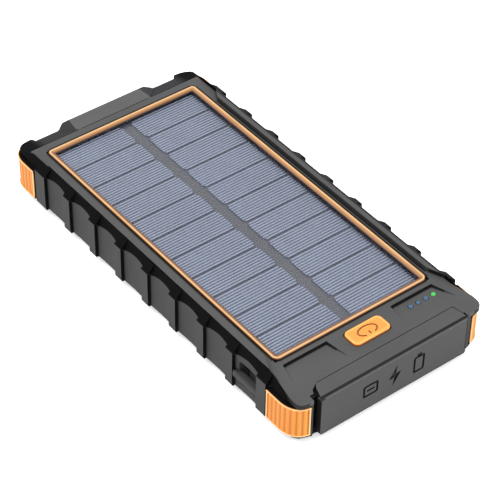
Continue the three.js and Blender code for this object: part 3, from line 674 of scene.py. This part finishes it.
def panel_backing():
    look = Look("backing")
    warp = look.noise(900, 2, 0.5, look.stretched(1, 0.15, 1))
    weft = look.noise(900, 2, 0.5, look.stretched(0.15, 1, 1))
    weave = look.both(warp, weft)
    cloud = look.noise(60, 4)
    colour = look.mix(linear(0x3C3B3A), linear(0x464442), look.span(cloud, 0.35, 0.65))
    colour = look.spots(colour, 0x4C4945, weave, (0.2, 0.4), 0.12)
    colour = look.mix(colour, linear(0x0A0606), shaded_rim(look))
    return look.finish(colour, cloud, (0.5, 0.65), weave, 0.002)


def clear_sheet(name, code, alpha, rough):
    look = Look(name)
    haze = look.noise(30, 5, 0.6)
    scratch = look.noise(700, 3, 0.7, look.stretched(1, 0.06, 1), 0.6)
    colour = look.mix(linear(code, 0.85), linear(code), haze)
    dulled = look.span(haze, *PATCHES, rough, rough + 0.12)
    roughness = look.math("ADD", dulled, look.span(scratch, 0.66, 0.8, 0, 0.15))
    look.set(Base_Color=colour, Roughness=roughness, Alpha=alpha, Normal=look.bump(scratch, 0.001 * MM))
    return look.material


def glowing(name, code, glow, strength):
    """A lamp's light seen through clear plastic."""
    look = Look(name)
    cloud = look.noise(800, 2)
    lit = {"Emission_Color": linear(glow), "Emission_Strength": strength}
    return look.finish(look.between(code, glow, cloud), cloud, (0.18, 0.3), cloud, 0.01, **lit)


def metal(name, code, rough, brushed, paint=None):
    """Brushed metal; brushed is how the streaks scale along x, y and z."""
    look = Look(name)
    streak = look.noise(900, 4, 0.6, look.stretched(*brushed))
    cloud = look.noise(150, 4)
    colour = look.mix(linear(code, 0.8), linear(code), look.span(cloud, *PATCHES))
    # Painted shade and dirt in the hollows.
    colour = look.shade_and_soil(colour, 0x4A4038, 0.4, reach=0.8 * MM)
    metallic = 1.0
    if paint:
        colour, metallic = paint(look, colour)
    return look.finish(colour, streak, (rough - 0.06, rough + 0.08), streak, 0.006, Metallic=metallic)


# How far in the tongue starts from the low and the high corner of a socket, in millimetres.
SHELL_NEAR, SHELL_FAR = Vector((1.0, 1.0, 1.3)), Vector((1.0, 0.9, 1.0))


def paint_tongues(look, colour):
    """The contact tongue in each socket is white nylon; the shell round it is metal."""
    share = 0.0
    for node in ("usb_socket_left", "input_socket", "usb_socket_right"):
        low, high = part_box(node)
        core = inside(look, low + SHELL_NEAR * MM, high - SHELL_FAR * MM)
        share = look.math("ADD", share, core, clamp=True)
    return look.mix(colour, linear(0xD8D6CE), share), look.math("SUBTRACT", 1.0, share)


def circuit_board():
    look = Look("board")
    tracks = look.cells(260, "Distance", "DISTANCE_TO_EDGE", look.stretched(1, 1, 0.2))
    cloud = look.noise(90, 3)
    colour = look.between(0x123F28, 0x1F5C3C, cloud)
    colour = look.mix(linear(0x2F7A52), colour, look.span(tracks, 0.03, 0.06))
    colour = look.mix(colour, linear(0xB9A15A), look.span(look.cells(420), 0.12, 0.1))
    return look.finish(colour, cloud, (0.32, 0.5), tracks, 0.03)


def pouch_foil():
    look = Look("pouch")
    crinkle = look.noise(160, 6, 0.7, warp=1.2)
    colour = look.between(0x9A9EA2, 0xC6CACE, look.noise(40, 4))
    return look.finish(colour, crinkle, (0.28, 0.45), crinkle, 0.3, Metallic=0.75)


def phosphor():
    look = Look("lamp")
    grain = look.cells(2600)
    colour = look.mix(linear(0xE2C24A), linear(0xF6E48A), look.span(grain, 0.1, 0.5))
    return look.finish(colour, grain, (0.4, 0.6), grain, 0.02, over=(0, 0.6))


FINISH = {
    "deck": moulded("deck", GREY_DECK, 0.62, 0.4, paint=paint_deck),
    "wall": moulded("wall", GREY_WALL, 0.66, 0.4, paint=paint_base, shine=0.2),
    "guard": moulded(
        "guard", NEAR_BLACK, 0.6, 0.3, wear=0.5, dirt_and_shade=0.7, dark=0x020202, paint=paint_guard, shine=0.1,
    ),
    "bumper": rubber_bumper(),
    "bezel": bezel_plastic(),
    "cover": moulded("cover", 0x5C5C5C, 0.72, 0.42, grain=0.018, paint=paint_cover),
    "button": button_rubber(),
    "cell": silicon(),
    "backing": panel_backing(),
    "film": clear_sheet("film", 0x8890A8, alpha=0.07, rough=0.12),
    "lens": clear_sheet("lens", 0xEEF2F8, alpha=0.22, rough=0.06),
    "lamp": phosphor(),
    "led_green": glowing("led_green", 0x27702E, 0x3FB246, 0.3),
    "led_blue": glowing("led_blue", 0x223648, 0x33587C, 0.08),
    "steel": metal("steel", 0xB8BCC0, 0.32, (1, 1, 0.1)),
    "chrome": metal("chrome", 0xD8DADE, 0.18, (0.1, 1, 1), paint_tongues),
    "board": circuit_board(),
    "plastic": moulded("plastic", 0x1B1B1D, 0.45, dirt_and_shade=0.4),
    "pouch": pouch_foil(),
    "seal": moulded("seal", 0x2A2A2A, 0.9, grain=0.05, wear=0.0),
}
HOOD = moulded("hood", GREY_DECK, 0.62, 0.5, paint=paint_hood_shade)
STRAP = moulded("strap", GREY_DECK, 0.62, 0.4, paint=paint_strap_shade, dirt_and_shade=0.5)
SYMBOL = button_rubber(symbol=True)
SILVER = silver_print()
GOLD = metal("gold", 0xE0B860, 0.25, (1, 0.1, 1))

# How far each CAD piece's edges are rounded, in millimetres. The rest get EDGE.
EDGE = 0.12
EDGES = {
    "bottom_shell": 0.25, "top_shell": 0.16, "guard_band": 0.3, "torch_hood": 0.3,
    "port_cover": 0.1, "port_cover_strap": 0.06, "solar_cover_sheet": 0.05,
    "battery_cell_left": 1.2, "battery_cell_right": 1.2,
}
OWN_FINISH = {"torch_hood": HOOD, "port_cover_strap": STRAP}


def dress_cad():
    """Each CAD node gets the finish of its slot, or its own, and rounded edges."""
    for node, piece in NODES.items():
        piece.data.materials.clear()
        piece.data.materials.append(OWN_FINISH.get(node, FINISH[SLOT_OF[node]]))
        width = 0 if node.startswith("solar_cell") else EDGES.get(node, EDGE)
        soften(piece, width, merge=True)


# ---- bezel ----

LEAST_RADIUS = 0.35
BEZEL_WIDTH = 2.3
BEZEL_REBATE = 1.2
BEZEL_RADII = (2.4, 1.6)
BEZEL_LIFT = 0.25  # clearance over the cover sheet


def rounded_loop(low, high, radii, inset, steps=8):
    """A rounded rectangle, given by its corners in millimetres, drawn in by inset.
    radii are those of the front and the back corners."""
    loop = []
    for turn, (sx, sy) in enumerate(((1, 1), (-1, 1), (-1, -1), (1, -1))):
        radius = max(radii[0 if sy < 0 else 1] - inset, LEAST_RADIUS)
        centre_x = (high[0] if sx > 0 else low[0]) - sx * (inset + radius)
        centre_y = (high[1] if sy > 0 else low[1]) - sy * (inset + radius)
        for i in range(steps + 1):
            angle = math.radians(90 * (turn + i / steps))
            loop.append((centre_x + radius * math.cos(angle), centre_y + radius * math.sin(angle)))
    return loop


def add_bezel():
    """The bezel's section, from its outer foot over a rounded crest and down an easy slope to the wall above
    the panel: distance in from the outside, height, the tone at the front and left bars, and the tone at the
    back and right bars. The tones paint a highlight on the crest and shade down the walls. The bars at the
    front and the left turn their inner slopes away, so those are painted a shade darker."""
    low, high = box_mm("bezel_ring")
    top, foot = high.z, low.z
    rest = box_mm("solar_cover_sheet")[1].z + BEZEL_LIFT
    section = [
        (0, foot, 0, 0), (0, top - 0.75, 0.05, 0.05),
        (0.04, top - 0.5, 0.15, 0.12), (0.14, top - 0.26, 0.35, 0.25),
        (0.3, top - 0.08, 0.75, 0.6), (0.5, top, 1, 0.95), (0.72, top, 1, 1), (0.95, top - 0.06, 0.62, 0.85),
        (1.25, top - 0.17, 0.4, 0.66), (1.65, top - 0.33, 0.32, 0.55), (1.95, top - 0.45, 0.25, 0.38),
        (2.15, top - 0.6, 0.15, 0.12), (BEZEL_WIDTH, top - 0.85, 0, 0), (BEZEL_WIDTH, rest, 0, 0),
        (BEZEL_REBATE, rest, 0, 0), (BEZEL_REBATE, foot, 0, 0),
    ]
    steps = 8
    shares = [1] * (steps + 1) + [1 - i / steps for i in range(steps + 1)]
    shares += [0] * (steps + 1) + [i / steps for i in range(steps + 1)]
    points, tones = [], []
    for inset, z, near_tone, far_tone in section:
        for (x, y), share in zip(rounded_loop(low, high, BEZEL_RADII, inset, steps), shares):
            points.append((x, y, z))
            tones.append(near_tone + (far_tone - near_tone) * share)
    columns = len(points) // len(section)
    faces = sheet_faces(len(section), columns, around=True)
    last = (len(section) - 1) * columns
    for c in range(columns):
        after = (c + 1) % columns
        faces.append((last + c, last + after, after, c))
    piece = add_piece("bezel_bead", points, faces, "case", [FINISH["bezel"]], ["bezel_ring"], tones)
    soften(piece)


# ---- corner bumpers ----

BUMPER_FLUTES = 8
BUMPER_RADIUS = 9
BUMPER_WALL = 1.9
BUMPER_RIM = 0.75
BUMPER_GAP = 0.18  # the bumper stays this far inside its CAD box at its top, foot and ends
STRAIGHT_STEPS, BEND_STEPS, FLUTE_STEPS = 20, 80, 10
HIDDEN_TONE = 0.2


def bumper_path(reach_x, reach_y, end_x, end_y):
    """Point and outward direction along the outside of a bumper, as a function of the length
    run from its end on the side wall, and that whole length."""
    start = Vector((reach_x, end_y))
    bend = Vector((reach_x, reach_y - BUMPER_RADIUS))
    corner = Vector((reach_x, reach_y))
    after = Vector((reach_x - BUMPER_RADIUS, reach_y))
    last = math.sqrt((reach_x - end_x) / BUMPER_RADIUS)
    fine = [start.lerp(bend, i / STRAIGHT_STEPS) for i in range(STRAIGHT_STEPS)]
    for i in range(BEND_STEPS + 1):
        t = last * i / BEND_STEPS
        fine.append(bend * (1 - t) ** 2 + corner * 2 * t * (1 - t) + after * t * t)
    runs = [0.0]
    for a, b in zip(fine, fine[1:]):
        runs.append(runs[-1] + (b - a).length)

    def at(run):
        i = max(i for i in range(len(runs) - 1) if runs[i] <= run + 1e-9)
        step = fine[i + 1] - fine[i]
        point = fine[i] + step * ((run - runs[i]) / (runs[i + 1] - runs[i]))
        return point, Vector((step.y, -step.x)).normalized()

    return at, runs[-1]


def bumper_columns(length):
    """Runs along a bumper with the depth and tone there: rim, upright flutes, rim. The tone paints shade in
    the grooves and a highlight on the crests.
    """
    rim = [
        (BUMPER_GAP, 0.35, 0.5), (BUMPER_GAP + 0.06, 0.12, 0.9),
        (BUMPER_GAP + 0.25, 0, 1), (BUMPER_RIM, 0.02, 1),
    ]
    rows = list(rim)
    field = length - 2 * BUMPER_RIM - 0.3
    for flute in range(BUMPER_FLUTES):
        for i in range(FLUTE_STEPS + 1):
            share = i / FLUTE_STEPS
            swell = math.sin(math.pi * share) ** 0.7
            run = BUMPER_RIM + 0.15 + field * (flute + 0.04 + 0.92 * share) / BUMPER_FLUTES
            rows.append((run, 0.5 - 0.3 * swell, 0.2 + 0.42 * swell))
    rows += [(length - run, depth, tone) for run, depth, tone in reversed(rim)]
    return rows


def bumper_rows(foot, top):
    """Heights with the depth and the share of the flutes there."""
    ends = [
        (BUMPER_GAP, 0.35, 0), (BUMPER_GAP + 0.06, 0.12, 0), (BUMPER_GAP + 0.25, 0, 0),
        (BUMPER_RIM - 0.1, 0.02, 0), (BUMPER_RIM + 0.12, 0.12, 0.9), (BUMPER_RIM + 0.3, 0, 1),
    ]
    low = [(foot + z, depth, share) for z, depth, share in ends]
    high = [(top - z, depth, share) for z, depth, share in reversed(ends)]
    middle = [(foot + (top - foot) * i / 6, 0, 1) for i in range(1, 6)]
    return low + middle + high


def add_bumper(name, side_x, side_y):
    """A fluted skin with a plain rim round it. Its back and its cut ends are black, in the guard's finish:
    painted shade for the gap round the bumper.
    """
    low, high = box_mm(name)
    reach = [max(abs(low[i]), abs(high[i])) for i in (0, 1)]
    end = [min(abs(low[i]), abs(high[i])) for i in (0, 1)]
    at, length = bumper_path(reach[0], reach[1], end[0], end[1])
    columns = bumper_columns(length)
    rows = bumper_rows(low.z, high.z)
    points, tones = [], []
    for z, edge_depth, share in rows:
        for run, depth, tone in columns:
            point, out = at(run)
            rim = share < 1 or run <= BUMPER_RIM or run >= length - BUMPER_RIM
            flute = depth * share if 0.02 < depth else depth
            place = point - out * max(edge_depth, flute)
            points.append((side_x * place.x, side_y * place.y, z))
            rim_tone = tone * share + (1 - share) * (1 - 1.6 * edge_depth)
            tones.append(min(1.0, max(0.0, rim_tone)) if rim else tone)
    front = len(points)
    for z, _, _ in rows:
        for run, _, _ in columns:
            point, out = at(run)
            place = point - out * BUMPER_WALL
            points.append((side_x * place.x, side_y * place.y, z))
            tones.append(HIDDEN_TONE)
    count, wide = len(rows), len(columns)
    faces = sheet_faces(count, wide) + sheet_faces(count, wide, start=front)
    outer = (count - 1) * (wide - 1)
    rim_loop = list(range(wide))
    rim_loop += [r * wide + wide - 1 for r in range(1, count)]
    rim_loop += [(count - 1) * wide + c for c in range(wide - 2, -1, -1)]
    rim_loop += [r * wide for r in range(count - 2, 0, -1)]
    for a, b in zip(rim_loop, rim_loop[1:] + rim_loop[:1]):
        faces.append((a, b, b + front, a + front))
    slots = [0] * outer + [1] * (len(faces) - outer)
    materials = [FINISH["bumper"], FINISH["guard"]]
    piece = add_piece(f"{name}_fluted", points, faces, "case", materials, [name], tones, slots)
    soften(piece)


# ---- solar panel ----

FINGER_PITCH = 1.2
FINGER_WIDTH = 0.56
FINGER_HEIGHT = 0.04
FINGER_SLOPE = 0.06
FINGER_MARGIN = 0.2
CELL_ROWS = 11
CELL_CLIP = 0.9


def add_fingers(side):
    """Silver lines printed across every cell of one column, each a low bar with sloping sides."""
    points, faces = [], []
    for row in range(1, CELL_ROWS + 1):
        low, high = box_mm(f"solar_cell_{side}_{row}")
        inner, outer = (low.x, high.x) if side == "right" else (high.x, low.x)
        way = 1 if side == "right" else -1
        depth = high.y - low.y
        count = round((depth - 0.5) / FINGER_PITCH)
        for i in range(count):
            y = low.y + depth * (i + 0.5) / count
            clipped = max(0.0, CELL_CLIP - min(y - low.y, high.y - y) + FINGER_WIDTH / 2)
            x0, x1 = inner + way * (FINGER_MARGIN + clipped), outer - way * FINGER_MARGIN
            base = len(points)
            for z, trim in ((0, 0), (FINGER_HEIGHT, FINGER_SLOPE)):
                half = FINGER_WIDTH / 2 - trim
                near, far = x0 + way * trim, x1 - way * trim
                for x, dy in ((near, -half), (far, -half), (far, half), (near, half)):
                    points.append((x, y + dy, high.z + z))
            faces += [tuple(range(base, base + 4)), tuple(range(base + 4, base + 8))]
            faces += sheet_faces(2, 4, around=True, start=base)
    piece = add_piece(f"silver_lines_{side}", points, faces, "case", [SILVER])
    soften(piece)


# ---- button ----

CAP_HALF = (7.6, 3.65)
CAP_RADIUS = 2
FLANGE_TOP, FLANGE_FOOT, FLANGE_RADIUS = 16.8, 15.8, 0.5
STEM_RADIUS = 1.5
OVAL_HALF = (3.7, 2.0)
OVAL_START, OVAL_SWEEP, OVAL_STEPS = -62, 304, 48
OVAL_LINE, BAR_LINE = 0.62, 0.6
BAR_X, BAR_ENDS = 0.1, (-0.45, -1.9)
SYMBOL_DEPTH = 0.42
CUT_TONE = 0.5

def ribbon(path, width, low, high):
    """Points and faces of an upright band along a flat path."""
    points = []
    for i, place in enumerate(path):
        before = path[i - 1] if i else path[i]
        after = path[i + 1] if i + 1 < len(path) else path[i]
        along = (Vector(after) - Vector(before)).normalized()
        across = Vector((-along.y, along.x)) * width / 2
        for z in (low, high):
            points.append((place[0] + across.x, place[1] + across.y, z))
        for z in (high, low):
            points.append((place[0] - across.x, place[1] - across.y, z))
    faces = sheet_faces(len(path), 4, around=True)
    last = 4 * (len(path) - 1)
    faces += [(0, 1, 2, 3), (last, last + 1, last + 2, last + 3)]
    return points, faces


def power_symbol(centre_y, low, high):
    """Cutter for the engraved symbol: an oval open towards the front, with a short bar."""
    arc = []
    for i in range(OVAL_STEPS + 1):
        angle = math.radians(OVAL_START + OVAL_SWEEP * i / OVAL_STEPS)
        arc.append((OVAL_HALF[0] * math.cos(angle), centre_y + OVAL_HALF[1] * math.sin(angle)))
    points, faces = ribbon(arc, OVAL_LINE, low, high)
    bar_points, bar_faces = ribbon([(BAR_X, centre_y + end) for end in BAR_ENDS], BAR_LINE, low, high)
    faces += [tuple(len(points) + k for k in face) for face in bar_faces]
    return points + bar_points, faces


def add_button():
    """The cap with a soft raised rim, an engraved symbol, and its flange and stem below the deck."""
    low, high = box_mm("power_button")
    centre_y = (low.y + high.y) / 2
    top = high.z
    cap = [(-CAP_HALF[0], centre_y - CAP_HALF[1]), (CAP_HALF[0], centre_y + CAP_HALF[1]), CAP_RADIUS]
    flange = [(low.x, low.y), (high.x, high.y), FLANGE_RADIUS]
    levels = [(flange, 0, FLANGE_FOOT, 0.2), (flange, 0, FLANGE_TOP, 0.2)]
    # The tones paint a highlight along the crest of the rim and shade down at the flange.
    levels += [(cap, inset, z, tone) for inset, z, tone in (
        (0, FLANGE_TOP, 0.2), (0, top - 0.55, 0.25), (0.06, top - 0.25, 0.6), (0.2, top - 0.08, 0.95),
        (0.42, top, 1), (0.72, top - 0.02, 0.95), (1.0, top - 0.14, 0.6), (1.5, top - 0.16, 0.5),
    )]
    points, tones = [], []
    for (near, far, radius), inset, z, tone in levels:
        for x, y in rounded_loop(near, far, (radius, radius), inset, 6):
            points.append((x, y, z))
            tones.append(tone)
    columns = len(points) // len(levels)
    faces = sheet_faces(len(levels), columns, around=True)
    faces.append(tuple(range(len(points) - columns, len(points))))
    stem = len(points)
    for z in (FLANGE_FOOT, low.z):
        for i in range(columns):
            angle = math.tau * i / columns
            points.append((STEM_RADIUS * math.cos(angle), centre_y + STEM_RADIUS * math.sin(angle), z))
            tones.append(HIDDEN_TONE)
    for c in range(columns):
        after = (c + 1) % columns
        faces.append((c, after, stem + after, stem + c))
    faces += sheet_faces(2, columns, around=True, start=stem)
    faces.append(tuple(range(stem + columns, stem + 2 * columns)))
    materials = [FINISH["button"], SYMBOL]
    piece = add_piece(
        "power_button_cap", points, faces, "power_button", materials, ["power_button"], tones,
    )
    cut_points, cut_faces = power_symbol(centre_y, top - SYMBOL_DEPTH, top + 1)
    cutter = add_piece("power_symbol_cutter", cut_points, cut_faces, "power_button", [SYMBOL])
    carve(piece, cutter)
    soften(piece)


def carve(piece, cutter):
    """Cuts the cutter out of the piece for good; the cut faces take the cutter's material."""
    change = piece.modifiers.new("carve", "BOOLEAN")
    change.operation = "DIFFERENCE"
    change.solver = "EXACT"
    change.material_mode = "TRANSFER"
    change.object = cutter
    bpy.context.view_layer.update()
    cut = piece.evaluated_get(bpy.context.evaluated_depsgraph_get())
    carved = bpy.data.meshes.new_from_object(cut)
    piece.modifiers.clear()
    piece.data = carved
    for point in carved.attributes["tone"].data:
        point.value = point.value or CUT_TONE
    bpy.data.objects.remove(cutter)


# ---- indicator lights ----

ROD_RADIUS = 0.85
ROD_DOME = 0.3
DOME_ANGLES = (0.5, 0.9, 1.25)
GUIDE_BAR_HALF = 1.2
GUIDE_BAR_RADII = (0.5, 0.5)
GUIDE_BAR_LEVELS = [(0.1, 14.6), (0, 14.7), (0, 15.7), (0.1, 15.8)]  # inset and height

def lathe(x, y, section, steps=20):
    """A body turned about an upright axis at x, y; section is radius and height, axis to axis."""
    points, faces = [(x, y, section[0][1])], []
    for radius, z in section[1:-1]:
        for i in range(steps):
            angle = math.tau * i / steps
            points.append((x + radius * math.cos(angle), y + radius * math.sin(angle), z))
    points.append((x, y, section[-1][1]))
    rings = len(section) - 2
    faces += sheet_faces(rings, steps, around=True, start=1)
    last = 1 + (rings - 1) * steps
    for i in range(steps):
        after = (i + 1) % steps
        faces.append((0, 1 + after, 1 + i))
        faces.append((len(points) - 1, last + i, last + after))
    return points, faces


def add_light_guides():
    """Four clear rods with domed tops, on the bar that carries them under the deck."""
    low, high = box_mm("light_guide")
    y = (low.y + high.y) / 2
    shoulder = high.z - ROD_DOME
    for i in range(1, 5):
        lamp_low, lamp_high = box_mm(f"indicator_led_{i}")
        section = [(0, low.z), (ROD_RADIUS, low.z), (ROD_RADIUS, shoulder)]
        section += [(ROD_RADIUS * math.cos(a), shoulder + ROD_DOME * math.sin(a)) for a in DOME_ANGLES]
        section.append((0, high.z))
        points, faces = lathe((lamp_low.x + lamp_high.x) / 2, y, section)
        kind = "led_green" if i == 4 else "led_blue"
        rod = add_piece(f"light_guide_rod_{i}", points, faces, "case", [FINISH[kind]], ["light_guide"])
        soften(rod)
    bar_low, bar_high = (low.x, y - GUIDE_BAR_HALF), (high.x, y + GUIDE_BAR_HALF)
    points = []
    for inset, z in GUIDE_BAR_LEVELS:
        points += [(px, py, z) for px, py in rounded_loop(bar_low, bar_high, GUIDE_BAR_RADII, inset, 4)]
    columns = len(points) // len(GUIDE_BAR_LEVELS)
    faces = sheet_faces(len(GUIDE_BAR_LEVELS), columns, around=True)
    faces += [tuple(range(columns)), tuple(range(len(points) - columns, len(points)))]
    bar = add_piece("light_guide_bar", points, faces, "case", [FINISH["lens"]], ["light_guide"])
    soften(bar)


# ---- sockets and torch ----

WIDE_SOCKET = {"count": 4, "pitch": 2.2, "setback": 3.3}
NARROW_SOCKET = {"count": 5, "pitch": 0.9, "setback": 1.8}
TONGUE_UNDERSIDE = 0.17  # above the middle of the socket
REAR_SETBACK = 1.2
LAMP_DOME = [(0, 0), (1.15, 0), (1.15, 0.25), (1.05, 0.65), (0.8, 0.95), (0.45, 1.12), (0, 1.18)]

def add_contacts(node, count, pitch, setback):
    """Gold strips on the underside of a socket's tongue, each with a bent, rounded front."""
    low, high = box_mm(node)
    x0, under = (low.x + high.x) / 2, (low.z + high.z) / 2 + TONGUE_UNDERSIDE
    front, rear = low.y + setback, high.y - REAR_SETBACK
    profile = [(front, 0.02), (front + 0.3, 0.08), (front + 0.9, 0.12), (rear - 0.6, 0.12), (rear, 0.06)]
    points, faces = [], []
    for i in range(count):
        x = x0 + (i - (count - 1) / 2) * pitch
        left, right = x - pitch * 0.2, x + pitch * 0.2
        base = len(points)
        for y, drop in profile:
            points += [(left, y, under), (left, y, under - drop), (right, y, under - drop), (right, y, under)]
        faces += sheet_faces(len(profile), 4, around=True, start=base)
        end = base + 4 * (len(profile) - 1)
        faces += [tuple(range(base, base + 4)), tuple(range(end, end + 4))]
    strips = add_piece(f"{node}_contacts", points, faces, "case", [GOLD])
    soften(strips)


def add_lamp_dome(side):
    """The clear dome over a torch lamp, pointing back into its reflector."""
    low, high = box_mm(f"torch_led_{side}")
    x, z = (low.x + high.x) / 2, (low.z + high.z) / 2
    turned, faces = lathe(0, 0, LAMP_DOME, 24)
    points = [(x + u, high.y + 0.05 + w, z + v) for u, v, w in turned]
    dome = add_piece(f"torch_dome_{side}", points, faces, "case", [FINISH["lens"]])
    soften(dome)


# ---- port cover ----

WEB_THICKNESS = 0.14
WEB_MARGIN = 0.3
WEB_FOOT = 0.01  # above the top of the cover
WEB_STEPS = [(0, 0), (0.12, 0), (0.26, 0), (0.4, 0), (0.54, 0), (0.68, 0), (0.81, 0.02), (0.87, 0.07)]

def add_hinge_web():
    """The thin skin of rubber that joins the cover to its strap over the hinge. WEB_STEPS are heights over
    its foot, each with the inset of its front there."""
    low, high = box_mm("port_cover")
    strap_low, strap_high = box_mm("port_cover_strap")
    front, foot = low.y, high.z + WEB_FOOT
    section = [(front + inset, foot + rise) for rise, inset in WEB_STEPS]
    section += [(front + WEB_THICKNESS, foot + rise) for rise, _ in reversed(WEB_STEPS)]
    across = (max(low.x, strap_low.x) + WEB_MARGIN, min(high.x, strap_high.x) - WEB_MARGIN)
    points = [(x, y, z) for x in across for y, z in section]
    count = len(section)
    faces = sheet_faces(2, count, around=True)
    faces += [tuple(range(count)), tuple(range(count, 2 * count))]
    web = add_piece("port_cover_web", points, faces, None, [STRAP])
    soften(web)
    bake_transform(web)


# ---- everything ----

add_camera()
add_stage()
dress_cad()
add_bezel()
for side_x, side_name in ((-1, "left"), (1, "right")):
    add_bumper(f"corner_bumper_front_{side_name}", side_x, -1)
    add_bumper(f"corner_bumper_rear_{side_name}", side_x, 1)
    add_fingers(side_name)
    add_lamp_dome(side_name)
    add_contacts(f"usb_socket_{side_name}", **WIDE_SOCKET)
add_contacts("input_socket", **NARROW_SOCKET)
add_button()
add_light_guides()
add_hinge_web()

bpy.context.scene.view_settings.view_transform = "Standard"
